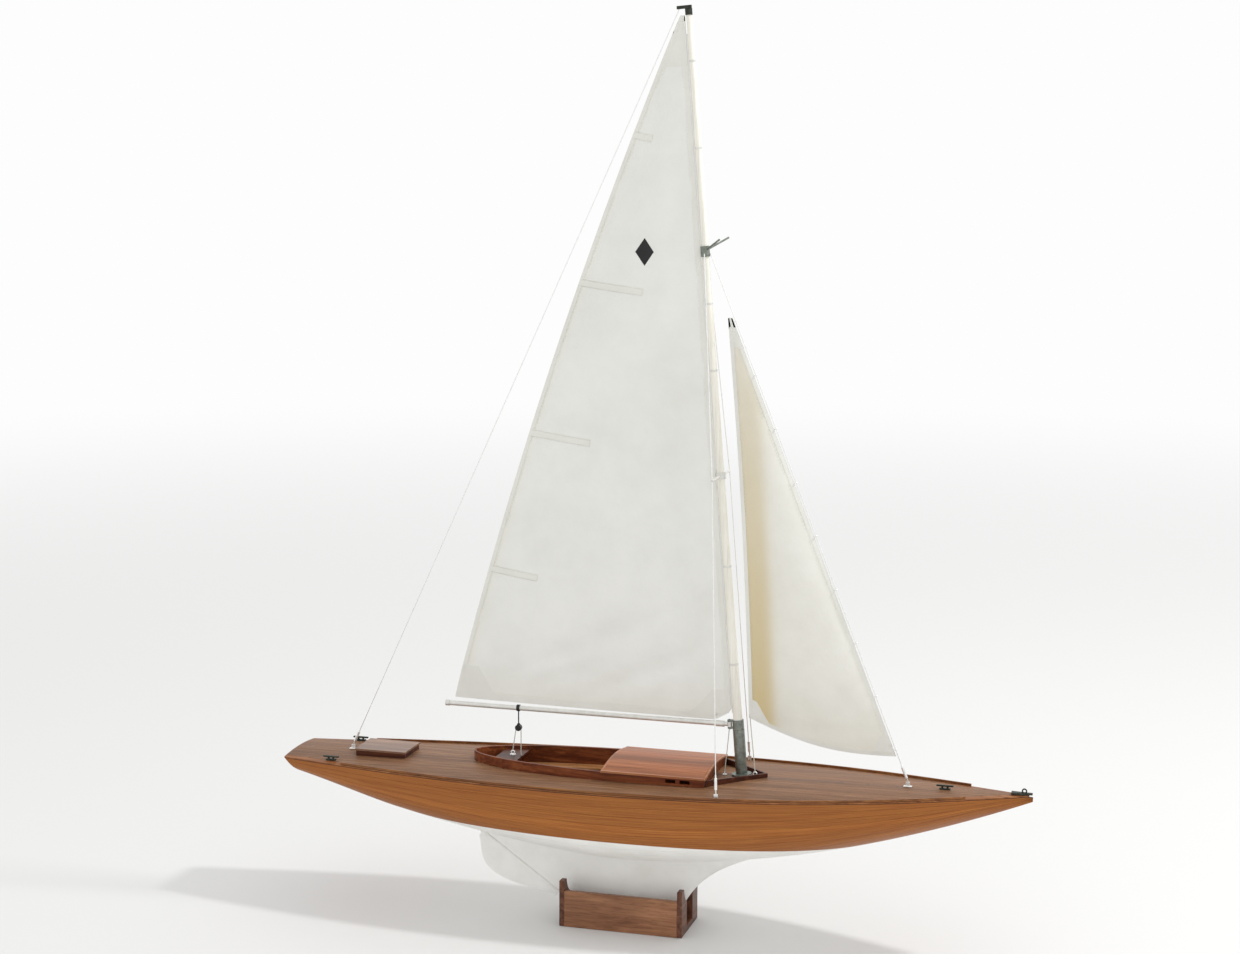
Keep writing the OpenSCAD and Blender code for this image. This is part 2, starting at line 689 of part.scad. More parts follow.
// Band at the hounds with two struts that lean forward, outward and up
module jumper_struts() {
    band = mast_radius(hounds_h) + band_t;
    strut = 24;
    color("#5a5a56") {
        difference() {
            on_mast(hounds_h - 3) cylinder(h = 10, r = band);
            on_mast(hounds_h - 4) cylinder(h = 12, r = mast_radius(hounds_h) + 2 * run);
        }
        for (s = [-1, 1]) on_mast(hounds_h + 4) rotate([0, 0, s * 42]) translate([band - 0.6, 0, 0])
            rotate([0, 68, 0]) cylinder(h = strut, r = 0.9);
    }
}

module spreaders() {
    band = mast_radius(spreader_h) + band_t;
    color("#7a766c") {
        difference() {
            on_mast(spreader_h - 3) cylinder(h = 6, r = band);
            on_mast(spreader_h - 4) cylinder(h = 8, r = mast_radius(spreader_h) + 2 * run);
        }
        for (s = [-1, 1]) on_mast(spreader_h) rotate([-s * 90, 0, 0]) translate([0, 0, band - 0.5])
            cylinder(h = spreader_len - band + 0.5, r = 1.2);
    }
}

plate_h = 5;
screw_len = 18;
shroud_y = half_beam(shroud_x) - 5;
shroud_low = [shroud_x, shroud_y, deck_top(shroud_x, shroud_y) + plate_h];
shroud_tip = mast_point(spreader_h, 0, spreader_len - wire_r - 0.2);
shroud_top = mast_point(hounds_h, 0, mast_radius(hounds_h) + band_t + wire_r);
fore_low = [forestay_x, 0, deck_top(forestay_x, 0) + plate_h];
fore_top = mast_point(hounds_h, mast_radius(hounds_h) + band_t + wire_r);
back_low = [backstay_x, 0, deck_top(backstay_x, 0) + plate_h];
back_top = mast_point(mast_h, -crane_aft);
function port(p, s) = [p[0], s * p[1], p[2]];

module shrouds() {
    color("#c8c8c4") for (s = [-1, 1]) {
        difference() {
            union() {
                rod(along(port(shroud_low, s), port(shroud_tip, s), screw_len), port(shroud_tip, s), wire_r);
                rod(port(shroud_tip, s), port(shroud_top, s), wire_r);
                translate(port(shroud_tip, s)) sphere(r = wire_r);
            }
            on_mast(spreader_h) rotate([-s * 90, 0, 0]) cylinder(h = spreader_len + 2, r = 1.2 + run);
        }
    }
}

module forestay() {
    color("#c8c8c4") rod(along(fore_low, fore_top, screw_len), fore_top, wire_r);
}

module backstay() {
    color("#c8c8c4") rod(along(back_low, back_top, screw_len), back_top - [0, 0, 0.3], wire_r);
}

module chainplates() {
    t = 1;
    w = 4;
    color("#8a8a86") {
        for (s = [-1, 1]) translate([shroud_x - w / 2, s * shroud_y - t / 2, shroud_low[2] - plate_h + fit])
            cube([w, t, plate_h - fit]);
        for (p = [fore_low, back_low]) {
            translate([p[0] - w / 2, -t / 2, p[2] - plate_h + clear]) cube([w, t, plate_h - clear]);
            translate([p[0] - w, -w / 2, p[2] - plate_h + clear]) cube([2 * w, w, 0.8]);
        }
    }
}

module turnbuckle(low, top) {
    rod(along(low, top, 0.3), along(low, top, screw_len), 0.7);
    rod(along(low, top, 4), along(low, top, screw_len - 3), 1.4);
}

module turnbuckles() {
    color("#9a9a94") {
        for (s = [-1, 1]) turnbuckle(port(shroud_low, s), port(shroud_tip, s));
        turnbuckle(fore_low, fore_top);
        turnbuckle(back_low, back_top);
    }
}

// ---- Deck fittings ----

module eye(p) {
    translate(p) {
        cylinder(h = 1, r = eye_r);
        translate([0, 0, 2.6]) rotate([90, 0, 0]) rotate_extrude() translate([1.8, 0]) circle(r = 0.6);
    }
}

main_eye = [-140, 0, bridge_z + 2];
eye_r = 3;
jib_eye_x = mast_x + mast_r + collar_w + clear + eye_r;
jib_eye = [jib_eye_x, 0, deck_top(jib_eye_x + eye_r, 0) + fit];

module deck_eyes() {
    color("#8a8a80") {
        eye(main_eye);
        eye(jib_eye);
    }
}

module stem_fitting() {
    x0 = half_len - 20;
    z = sheer(half_len) + crown(x0) + 0.1;
    color("#2e332c") {
        translate([0, 0, z]) linear_extrude(height = 1.6) polygon([[x0, 3.4], [half_len - 0.4, 1.6],
            [half_len - 0.4, -1.6], [x0, -3.4]]);
        translate([half_len - 8, 0, z + 3.2]) rotate([90, 0, 0]) rotate_extrude() translate([1.9, 0]) circle(r = 0.7);
    }
}

module cleat(p, turn) {
    translate(p) rotate([0, 0, turn]) {
        translate([-5, -2, 0]) cube([10, 4, 1.2]);
        for (x = [-2.5, 2.5]) translate([x, 0, 1]) cylinder(h = 2, r = 1);
        translate([-8, -1.2, 2.8]) cube([16, 2.4, 1.4]);
    }
}

module deck_cleats() {
    x = stern_cleat_x;
    y = half_beam(x) - 8;
    color("#3a3a34") {
        cleat([bow_cleat_x, 0, deck_top(bow_cleat_x, 0) + clear], 0);
        for (s = [-1, 1]) cleat([x, s * y, deck_top(x, y - 2) + clear], 0);
    }
}

// ---- Rudder and its gear ----

horn_s = (link_z - hinge_z) / sin(stock_angle);
tube_end = horn_s - 6;

module rudder_tube() {
    color("#b08d4a") difference() {
        on_stock(blade_len + 4) cylinder(h = tube_end - blade_len - 4, r = tube_r);
        on_stock(blade_len) cylinder(h = tube_end - blade_len + 4, r = tube_in_r);
    }
}

// A blade with a round nose about the stock
module rudder_blade() {
    c = blade_chord;
    h = blade_len;
    color("#eceae4") difference() {
        union() {
            on_stock(2) cylinder(h = h - 2, r = blade_r);
            on_stock() translate([0, blade_t / 2, 0]) rotate([90, 0, 0]) linear_extrude(height = blade_t)
                polygon([[0, 2], [-0.46 * c, 0.23 * h], [-0.83 * c, 0.45 * h], [-c, 0.66 * h],
                    [-0.93 * c, 0.81 * h], [-0.5 * c, 0.93 * h], [-0.12 * c, h], [0, h]]);
        }
        on_stock() cylinder(h = h + 5, r = stock_r + 0.02);
    }
}

module rudder_stock() {
    color("#c0c0bc") on_stock(3) cylinder(h = horn_s + 4 - 3, r = stock_r);
}

// Clamp on the stock with one arm to port, which ends in a ball
module rudder_horn() {
    color("#e8e8e8") difference() {
        on_stock(horn_s) union() {
            translate([0, 0, -2.5]) cylinder(h = 5, r = 4);
            rotate([-90, 0, 0]) cylinder(h = arm_reach, r = 1.1);
            translate([0, arm_reach, 0]) sphere(r = 1.5);
        }
        on_stock(horn_s - 4) cylinder(h = 10, r = stock_r + 0.02);
    }
}

servo_top = link_z - 11;

module steering_servo() {
    color("#26262a") {
        box([steer_x - 16, steer_x + 7], [-6, 6], [tray_z - 10, servo_top]);
        box([steer_x - 21, steer_x + 12], [-6, 6], [tray_z + tray_t, tray_z + tray_t + 2]);
        translate([steer_x, 0, servo_top]) cylinder(h = 3, r = 3.5);
        translate([steer_x, 0, servo_top + 3]) cylinder(h = 4.5, r = 1.5);
    }
}

module steering_horn() {
    color("#f0f0ee") difference() {
        translate([steer_x, 0, servo_top + 3.3]) union() {
            cylinder(h = 4, r = 3.5);
            translate([-1.8, 0, 1]) cube([3.6, arm_reach, 2]);
            translate([0, arm_reach, 1]) cylinder(h = 2, r = 2.4);
            translate([0, arm_reach, 1]) cylinder(h = link_z - servo_top - 4.3 + 2, r = 1);
        }
        translate([steer_x, 0, servo_top]) cylinder(h = 20, r = 1.5 + run);
    }
}

// Wire with an eye on the servo horn's pin, and an upright fork round the rudder horn's ball
module pushrod() {
    ball_x = hinge_at(link_z);
    gap = 1.5 + 0.5;
    tine = 1;
    reach = 10;
    color("#b8b8b4") {
        difference() {
            union() {
                translate([steer_x, arm_reach, link_z - 1]) cylinder(h = 2, r = 3);
                rod([steer_x - 2.5, arm_reach, link_z], [ball_x + gap + tine / 2, arm_reach, link_z], 0.9);
            }
            translate([steer_x, arm_reach, link_z - 2]) cylinder(h = 4, r = 1 + run);
        }
        for (x = [ball_x - gap - tine, ball_x + gap])
            box([x, x + tine], [arm_reach - 1, arm_reach + 1], [link_z - reach - 1, link_z + reach]);
        box([ball_x - gap - tine, ball_x + gap + tine], [arm_reach - 1, arm_reach + 1],
            [link_z - reach - 2, link_z - reach]);
    }
}

tray_half = breadth_at(aft_x + bulkhead_t, tray_z, plank_t) - tray_gap;

module servo_tray() {
    color("#d8c090") difference() {
        box([aft_x + bulkhead_t + fit, mid_x - fit], [-tray_half, tray_half], [tray_z, tray_z + tray_t]);
        box([steer_x - 16 - fit, steer_x + 7 + fit], [-6 - fit, 6 + fit], [tray_z - 1, tray_z + tray_t + 1]);
        box([winch_x - 20 - fit, winch_x + 20 + fit], [-10 - fit, 10 + fit], [tray_z - 1, tray_z + tray_t + 1]);
    }
}

winch_top = link_z - 15;

module winch_servo() {
    color("#1e1e22") {
        box([winch_x - 20, winch_x + 20], [-10, 10], [tray_z - 18, winch_top]);
        box([winch_x - 27, winch_x + 27], [-9, 9], [tray_z + tray_t, tray_z + tray_t + 2.5]);
        translate([winch_x, 0, winch_top]) cylinder(h = 4, r = 5);
        translate([winch_x, 0, winch_top + 4]) cylinder(h = 9, r = 2);
    }
}

// Spool with two flanges
module winch_drum() {
    z = winch_top + 4.3;
    color("#e8e6e0") difference() {
        union() {
            translate([winch_x, 0, z]) cylinder(h = 1.5, r = drum_r);
            translate([winch_x, 0, z]) cylinder(h = 8, r = drum_r - 3);
            translate([winch_x, 0, z + 6.5]) cylinder(h = 1.5, r = drum_r);
        }
        translate([winch_x, 0, z - 1]) cylinder(h = 12, r = 2 + run);
    }
}

module receiver() {
    color("#3a3a44") box([aft_x + 14, aft_x + 46], [2 - tray_half, 22 - tray_half], [tray_z + tray_t, tray_z + tray_t + 11]);
}

// Four cells side by side in a holder
module battery_pack() {
    cell_r = 7.1;
    z = tray_z + tray_t;
    x0 = mid_x - 14 - 4 * 2 * cell_r / 2;
    color("#2a4a3a") {
        box([x0, x0 + 4 * cell_r], [-29, 29], [z, z + 1.5]);
        for (i = [0, 1]) translate([x0 + cell_r * (1 + 2 * i), -27, z + 1.5 + cell_r])
            rotate([-90, 0, 0]) cylinder(h = 54, r = cell_r - 0.05);
        for (y = [-29, 27]) box([x0, x0 + 4 * cell_r], [y, y + 2], [z + 1.5, z + 13]);
    }
}

module switch_body() {
    color("#1c1c1c") difference() {
        union() {
            box([switch_x - 9, switch_x + 9], [switch_y - 4, switch_y + 4], [sole_z - 9, sole_z]);
            box([switch_x - 13, switch_x + 13], [switch_y - 6, switch_y + 6], [sole_z, sole_z + 1.2]);
        }
        box([switch_x - 5, switch_x + 5], [switch_y - 1.8, switch_y + 1.8], [sole_z - 3, sole_z + 2]);
    }
}

module switch_knob() {
    color("#c04030") box([switch_x - 4.5, switch_x - 0.5], [switch_y - 1.5, switch_y + 1.5],
        [sole_z - 2.7, sole_z + 3.5]);
}

// ---- Boom, sails and sheets ----

goose = [luff_x(mast_point(goose_h)[2]), 0, luff_foot[2] + goose_h * cos(luff_rake)];
boom_fore = goose[0] - 13;

module boom_fitting() {
    color("#7a7e7a") difference() {
        union() {
            on_luff(goose_h - eye_h / 2) cylinder(h = eye_h, r = 2.3);
            rod([goose[0] - 1.8, 0, goose[2]], [boom_fore, 0, goose[2]], 2.2);
            rod([goose[0] - 5, 0, goose[2]], [boom_fore, 0, goose[2]], boom_r + 0.5);
        }
        on_luff(goose_h - 5) cylinder(h = 10, r = goose_pin_r + run);
    }
}

module boom() {
    color("#a8a49a") {
        rod([boom_fore, 0, goose[2]], [boom_end_x, 0, goose[2]], boom_r);
        rod([boom_end_x + 4, 0, goose[2]], [boom_end_x, 0, goose[2]], boom_r + 0.5);
    }
}

strap_t = 0.8;
luff_gap = band_t + clear;
main_foot_z = goose[2] + boom_r + strap_t + clear;
main_head = mast_point(mast_h - head_drop, -mast_radius(mast_h - head_drop) - luff_gap);
function mast_face(z) = luff_x(z) + goose_reach - luff_gap;
main_clew = [main_clew_x, main_foot_z + 3];
// The leech bows outward from the straight line between head and clew
function leech(u) = let (p = [main_head[0] - 4, main_head[2]] * (1 - u) + main_clew * u)
    p - [roach * pow(sin(180 * u), 0.8), 0];

module mainsail() {
    tack_z = main_foot_z + 9;
    color("#dcdad2") plate(concat([[main_head[0], main_head[2]]], [for (i = [0:16]) leech(i / 16)],
        [[main_clew_x + 6, main_foot_z], [goose[0] - 14, main_foot_z], [mast_face(tack_z), tack_z]]), sail_t);
}

// Four battens on the sail's port face, square to the leech
module battens() {
    color("#e6e2d6") for (b = [[0.165, 16], [0.375, 65], [0.595, 64], [0.80, 52]])
        let (p = leech(b[0]), turn = atan2(-14, b[1] + 60))
        translate([p[0] + 2, sail_t / 2, p[1]]) rotate([0, -turn, 0]) cube([b[1], 0.8, 3]);
}

block_z = goose[2] - 20;
block_x = -134;

// Strap round the boom, two cheeks and a sheave
module sheet_block() {
    color("#2c2c28") {
        difference() {
            translate([block_x - 1.5, 0, goose[2]]) rotate([0, 90, 0]) cylinder(h = 3, r = boom_r + strap_t);
            translate([block_x - 3, 0, goose[2]]) rotate([0, 90, 0]) cylinder(h = 6, r = boom_r + run);
        }
        rod([block_x, 0, goose[2] - boom_r - 0.5], [block_x, 0, block_z + 4], 0.6);
        for (s = [-1.9, 1.1]) translate([block_x, s, block_z]) rotate([-90, 0, 0]) cylinder(h = 0.8, r = 3.2);
        translate([block_x, -1.9, block_z + 3]) translate([-1, 0, 0]) cube([2, 3.8, 1.2]);
        translate([block_x, -1.2, block_z]) rotate([-90, 0, 0]) cylinder(h = 2.4, r = 2.2);
    }
}

module mainsheet() {
    color("#d8d4c8") rod([block_x - 0.6, 0, block_z - 2.9], main_eye + [0, 0, 5.2], sheet_r);
}

// The jib's luff lies just behind the forestay
stay_gap = wire_r + 1.6;
function stay(u) = fore_low + (fore_top - fore_low) * u;
stay_dir = (fore_top - fore_low) / norm(fore_top - fore_low);
function jib_luff(u, gap) = let (p = stay(u)) [p[0] - gap * stay_dir[2], p[2] + gap * stay_dir[0]];

module jib() {
    head = jib_luff(jib_head, stay_gap);
    tack = jib_luff(jib_tack, stay_gap);
    clew = [jib_clew_x, jib_clew_z];
    sag = 9;
    color("#dedbd0") plate(concat([head], [head - [3.5, 0.5]], [clew + [-0.5, 4]], [clew],
        [for (i = [1:8]) let (u = i / 9) clew + (tack - clew) * u - [0, sag * sin(180 * u)]], [tack]), sail_t);
}

module jib_hanks() {
    color("#8a8a84") for (i = [0:8]) let (p = stay(jib_tack + 0.012 + (jib_head - jib_tack - 0.02) * i / 8))
        translate(p) rotate([0, atan2(stay_dir[0], stay_dir[2]), 0])
            rotate_extrude() translate([wire_r + 0.9, 0]) circle(r = 0.45);
}

module jib_sheet() {
    color("#d8d4c8") rod(jib_eye + [0, 0, 5.2], [jib_clew_x + 1, 0, jib_clew_z - 0.8], sheet_r);
}

stand_floor();
stand_sides();
stand_end_fore();
stand_end_aft();
hull_shell();
transom();
keel_fin();
keel_ballast();
bulkhead_fore();
bulkhead_mast();
bulkhead_mid();
bulkhead_aft();
deck();
toe_rails();
coaming();
breakwater();
cockpit_sole();
cockpit_benches();
sheet_bridge();
aft_hatch_frame();
mast_step();
mast_sleeve();
mast();
gooseneck_bracket();
masthead_crane();
jumper_struts();
spreaders();
shrouds();
forestay();
backstay();
chainplates();
turnbuckles();
stem_fitting();
deck_cleats();
deck_eyes();
rudder_tube();
servo_tray();
steering_servo();
winch_servo();
receiver();
battery_pack();
switch_body();
rudder_blade();
rudder_stock();
rudder_horn();
steering_horn();
pushrod();
winch_drum();
switch_knob();
cuddy_roof();
aft_hatch_cover();
boom();
boom_fitting();
mainsail();
battens();
sheet_block();
mainsheet();
jib();
jib_hanks();
jib_sheet();
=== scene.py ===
# %% [markdown]
# # A radio-controlled long-keel yacht on its stand
# The real boat is a display model that sails: a planked wooden hull with a white painted bottom, a laid
# deck, a small cuddy, one mast with two cloth sails, and a dark wooden cradle that it rests in. The
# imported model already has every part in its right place. This script gives each part its looks, and
# builds again, in finer detail, what the eye goes to first: planks, deck, keel and sails.

import math

import bmesh
import bpy
import numpy as np
from mathutils import Matrix, Vector


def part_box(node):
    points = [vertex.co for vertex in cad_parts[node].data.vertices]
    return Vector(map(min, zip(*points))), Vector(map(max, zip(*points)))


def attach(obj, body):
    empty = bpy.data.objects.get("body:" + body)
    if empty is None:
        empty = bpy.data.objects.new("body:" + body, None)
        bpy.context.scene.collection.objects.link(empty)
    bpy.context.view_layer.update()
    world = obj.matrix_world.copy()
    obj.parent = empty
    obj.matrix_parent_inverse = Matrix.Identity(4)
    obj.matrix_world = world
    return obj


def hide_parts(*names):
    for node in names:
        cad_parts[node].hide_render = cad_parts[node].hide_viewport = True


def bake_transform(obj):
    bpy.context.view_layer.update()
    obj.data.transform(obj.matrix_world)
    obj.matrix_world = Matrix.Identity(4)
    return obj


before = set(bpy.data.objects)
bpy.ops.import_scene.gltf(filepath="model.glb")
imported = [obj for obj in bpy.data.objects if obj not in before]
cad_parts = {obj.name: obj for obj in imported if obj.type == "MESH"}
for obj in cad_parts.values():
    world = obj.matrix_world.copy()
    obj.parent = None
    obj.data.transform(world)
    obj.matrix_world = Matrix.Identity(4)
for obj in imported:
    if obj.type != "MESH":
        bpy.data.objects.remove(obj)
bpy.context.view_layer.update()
scene = bpy.context.scene
MM = 0.001

# %% [markdown]
# ## The camera
# A long hull looks stretched at its near end through a wide lens. The boat could be shown square on, but
# then its deck and stand lose their depth. So a long lens looks from a little ahead of the beam, just
# above the deck.

# %% Aim the camera at the middle of the sails
AZIMUTH, ELEVATION, ROLL = (math.radians(a) for a in (16.08, 8.51, 0.26))
TARGET = Vector((-30.94, 0, 443.19)) * MM
DISTANCE = 2200 * MM
LENS, SENSOR = 66.59, 36  # both in millimetres, as on a real camera

level = Vector((math.sin(AZIMUTH), -math.cos(AZIMUTH), 0))
back = level * math.cos(ELEVATION) + Vector((0, 0, math.sin(ELEVATION)))
camera = bpy.data.objects.new("camera", bpy.data.cameras.new("camera"))
scene.collection.objects.link(camera)
camera.data.lens, camera.data.sensor_width = LENS, SENSOR
camera.rotation_mode = "QUATERNION"
camera.location = TARGET + back * DISTANCE
turn = (-back).to_track_quat("-Z", "Y").to_matrix().to_4x4()
turn = turn @ Matrix.Rotation(ROLL, 4, "Z")
camera.rotation_quaternion = turn.to_quaternion()
scene.camera = camera
scene.view_settings.view_transform = "Standard"
print("camera:", LENS, "mm lens,", DISTANCE, "m from its target")

# %% [markdown]
# ## Helpers for finishes
# Colours are written as they look on a screen, and one function turns them into the linear light that
# Blender works in. One more function adds a node with its settings and its links. Finishes could be
# painted on images, but patterns worked out from millimetres stay sharp at any distance and need no
# unwrapping.


# %% Colours and nodes
def linear(hex_colour):
    """An sRGB colour such as "#985f37" as linear red, green, blue and alpha."""
    parts = [int(hex_colour[i : i + 2], 16) / 255 for i in (1, 3, 5)]
    return tuple(c / 12.92 if c <= 0.04045 else ((c + 0.055) / 1.055) ** 2.4 for c in parts) + (1.0,)


def add(material, kind, settings=None, **inputs):
    """Adds one node. Settings are its attributes; inputs are values or other nodes' outputs."""
    node = material.node_tree.nodes.new(kind)
    for name, value in (settings or {}).items():
        setattr(node, name, value)
    for name, value in inputs.items():
        socket = node.inputs[int(name[1:])] if name[1:].isdigit() else node.inputs[name.replace("_", " ")]
        if isinstance(value, bpy.types.NodeSocket):
            material.node_tree.links.new(value, socket)
        else:
            socket.default_value = value
    return node


def blank(name):
    """A material with only its output node."""
    material = bpy.data.materials.new(name)
    material.use_nodes = True
    material.node_tree.nodes.clear()
    return material


def ramp(material, fac, *stops):
    """A colour ramp from (position, colour) stops."""
    node = add(material, "ShaderNodeValToRGB", Fac=fac)
    edge = node.color_ramp.elements
    while len(edge) < len(stops):
        edge.new(0.5)
    for element, (position, colour) in zip(edge, stops):
        element.position = position
        element.color = linear(colour) if isinstance(colour, str) else (colour, colour, colour, 1)
    return node.outputs["Color"]


TINT = {"data_type": "RGBA", "blend_type": "MULTIPLY"}  # one colour multiplied by another
BLEND = {"data_type": "RGBA"}  # a plain mix of two colours


def close(material, shader):
    """Joins the shader to the output."""
    output = add(material, "ShaderNodeOutputMaterial")
    material.node_tree.links.new(shader.outputs[0], output.inputs["Surface"])
    return material


def here(material):
    """The place of a point on the object, in millimetres."""
    place = add(material, "ShaderNodeTexCoord").outputs["Object"]
    return add(material, "ShaderNodeVectorMath", {"operation": "SCALE"}, i0=place, Scale=1000.0).outputs[0]


# %% [markdown]
# ## Varnished wood
# Mahogany, spruce and plywood differ in colour, in how long their grain is and in how much varnish they
# carry. Grain is a noise stretched along the board. A wave of rings could draw it too, but it looks too
# regular here. Mahogany's pores are about 0.3 mm wide, too fine for this view, so they are drawn about 1
# mm wide.


# %% Wood that is seen as whole boards
def varnished_wood(name, dark, mid, light, grain=1.1, along=28.0, axis=0, gloss=0.4, coat=0.08, wear=0.25,
                   pore_dark=0.62):
    """A board of one colour family, with its grain along axis 0, 1 or 2."""
    m = blank(name)
    place = here(m)
    scale = [1 / grain / 6] * 3
    scale[axis] = 1 / along / 6
    run = add(m, "ShaderNodeVectorMath", {"operation": "MULTIPLY"}, i0=place, i1=tuple(scale)).outputs[0]
    figure = add(m, "ShaderNodeTexNoise", Vector=run, Scale=1.6, Detail=6.0, Roughness=0.62, Distortion=0.6)
    pores = add(m, "ShaderNodeTexNoise", Vector=run, Scale=6.5, Detail=3.0, Roughness=0.7)
    tone = ramp(m, figure.outputs["Fac"], (0.28, dark), (0.5, mid), (0.72, light))
    pore = ramp(m, pores.outputs["Fac"], (0.36, pore_dark), (0.5, 1.0), (0.8, 1.06))
    both = add(m, "ShaderNodeMix", TINT, i0=0.8, i6=tone, i7=pore)
    cloud = add(m, "ShaderNodeTexNoise", Vector=place, Scale=0.02, Detail=3.0)
    worn = ramp(m, cloud.outputs["Fac"], (0.3, 1 - wear), (0.7, 1.0 + 0.3 * wear))
    colour = add(m, "ShaderNodeMix", TINT, i0=1.0, i6=both.outputs[2], i7=worn)
    rough = add(m, "ShaderNodeMapRange", Value=cloud.outputs["Fac"], To_Min=gloss - 0.07,
                To_Max=gloss + 0.12)
    bump = add(m, "ShaderNodeBump", Strength=0.22, Distance=0.0002, Height=pores.outputs["Fac"])
    shader = add(m, "ShaderNodeBsdfPrincipled", Base_Color=colour.outputs[2], Roughness=rough.outputs[0],
                 Normal=bump.outputs[0], IOR=1.5, Specular_IOR_Level=0.25, Coat_Weight=coat,
                 Coat_Roughness=0.3)
    return close(m, shader)


# Old mahogany under thin varnish: brown-black, with a low even sheen.
dark_mahogany = varnished_wood("dark_varnished_mahogany", "#2e140b", "#4c2313", "#6e3a20")
# Younger mahogany, redder, so the coaming glows where light gets into the cockpit.
red_mahogany = varnished_wood("red_varnished_mahogany", "#4a1d0d", "#74381a", "#9a5a30")
# A paler cut of mahogany with coarser grain, which reads as a lighter lid on the dark coaming.
cuddy_wood = varnished_wood("light_terracotta_mahogany", "#8a5230", "#a86b45", "#bd825a", grain=1.4,
                            gloss=0.36)
# The hatch is handled, and has the thickest varnish: greyish brown with a clear glint.
hatch_wood = varnished_wood("glossy_hatch_board", "#6a4836", "#86624c", "#a58269", gloss=0.3, coat=0.2)
# A red-brown hardwood rail, between the deck and the hull in tone, so it draws a thin line between them.
rail_wood = varnished_wood("red_brown_rail", "#5c3418", "#835026", "#9c6a38")
# Pale board under gloss varnish: the brightest wood inside the cockpit.
bench_wood = varnished_wood("pale_bench_board", "#8c5a34", "#b07c50", "#cfa37a", gloss=0.3)
# Bare birch plywood inside the hull: pale and matt, because nobody varnishes it.
birch_plywood = varnished_wood("bare_birch_plywood", "#a8855a", "#c8a577", "#dcc197", gloss=0.6, coat=0.0)
# Bleached spruce: nearly white and fine grained, so the mast all but joins the sails.
spruce_spar = varnished_wood("bleached_spruce", "#dedacb", "#eeebe0", "#f6f4ec", grain=0.8, along=60,
                             axis=2,
                             wear=0.05, pore_dark=0.93)
# Stained boards: mid brown with broad figure and a dull sheen.
stand_wood = varnished_wood("stained_stand_board", "#714730", "#97684a", "#b07e5d", grain=1.6, along=22,
                            gloss=0.45)
# The end boards are the same stained wood, painted darker than the sides: painted shade.
shaded_stand_end_wood = varnished_wood("shade_darkened_end_board", "#442519", "#653f2d", "#83573f", grain=1.6,
                                along=22, axis=1)

# %% [markdown]
# ## Planks that keep their own grain
# Each plank of the hull and deck is its own solid, cut from its own piece of wood, so its grain follows
# the plank and its colour differs a little from its neighbour's. One grain for the whole hull would run
# straight across the seams. So the mesh stores millimetres along the plank, millimetres across it, and
# the plank's number.


# %% Plank wood, with an optional painted bottom
def plank_wood(name, dark, mid, light, gloss, paint_below=None, streak=0.5):
    """Wood that reads the grain stored on the planks."""
    m = blank(name)
    grain = add(m, "ShaderNodeAttribute", {"attribute_name": "grain"}).outputs["Vector"]
    parts = add(m, "ShaderNodeSeparateXYZ", Vector=grain)
    run = add(m, "ShaderNodeVectorMath", {"operation": "MULTIPLY"}, i0=grain,
              i1=(0.006, 0.14, 3.1)).outputs[0]
    figure = add(m, "ShaderNodeTexNoise", Vector=run, Scale=2.2, Detail=6.0, Roughness=0.6, Distortion=0.5)
    pores = add(m, "ShaderNodeTexNoise", Vector=run, Scale=9.0, Detail=3.0, Roughness=0.7)
    tone = ramp(m, figure.outputs["Fac"], (0.26, dark), (0.5, mid), (0.74, light))
    pore = ramp(m, pores.outputs["Fac"], (0.34, 1 - 0.55 * streak), (0.52, 1.0), (0.8, 1.05))
    both = add(m, "ShaderNodeMix", TINT, i0=0.85, i6=tone, i7=pore)
    each = add(m, "ShaderNodeTexWhiteNoise", {"noise_dimensions": "1D"}, W=parts.outputs["Z"])
    level = ramp(m, each.outputs["Value"], (0.0, 0.84), (1.0, 1.1))
    wood = add(m, "ShaderNodeMix", TINT, i0=1.0, i6=both.outputs[2], i7=level)
    bump = add(m, "ShaderNodeBump", Strength=0.2, Distance=0.0002, Height=pores.outputs["Fac"])
    sheen = add(m, "ShaderNodeMapRange", Value=figure.outputs["Fac"], To_Min=gloss, To_Max=gloss + 0.15)
    colour = wood.outputs[2]
    if paint_below is not None:
        place = here(m)
        height = add(m, "ShaderNodeSeparateXYZ", Vector=place).outputs["Z"]
        painted = add(m, "ShaderNodeMapRange", Value=height, From_Min=paint_below + PAINT_FADE,
                      From_Max=paint_below - PAINT_FADE)
        paint = ramp(m, add(m, "ShaderNodeTexNoise", Vector=place, Scale=0.03, Detail=5.0).outputs["Fac"],
                     (0.3, "#eae9e4"), (0.6, "#f3f2ee"))
        colour = add(m, "ShaderNodeMix", BLEND, i0=painted.outputs[0], i6=colour, i7=paint).outputs[2]
    shader = add(m, "ShaderNodeBsdfPrincipled", Base_Color=colour, Roughness=sheen.outputs[0],
                 Normal=bump.outputs[0],
                 IOR=1.5, Specular_IOR_Level=0.22, Coat_Weight=0.08, Coat_Roughness=0.3)
    return close(m, shader)


WATERLINE = 103.0
PAINT_FADE = 0.25  # half the width of the paint's edge, in millimetres
# Oiled mahogany strakes, orange-brown and softly shiny, with white paint under the waterline.
hull_planking = plank_wood("oiled_mahogany_planking", "#70390f", "#a26029", "#c4833c", 0.42, WATERLINE)
# A walked-on deck: the oil has dulled and greyed, so it stays browner and quieter than the hull.
deck_planking = plank_wood("weathered_deck_planking", "#61432d", "#805b40", "#9a7557", 0.45, streak=0.35)
# Covering boards keep more of their oil, and frame the deck with a redder edge.
deck_edge_wood = plank_wood("covering_board_mahogany", "#643a1c", "#89552f", "#a87347", 0.42, streak=0.4)

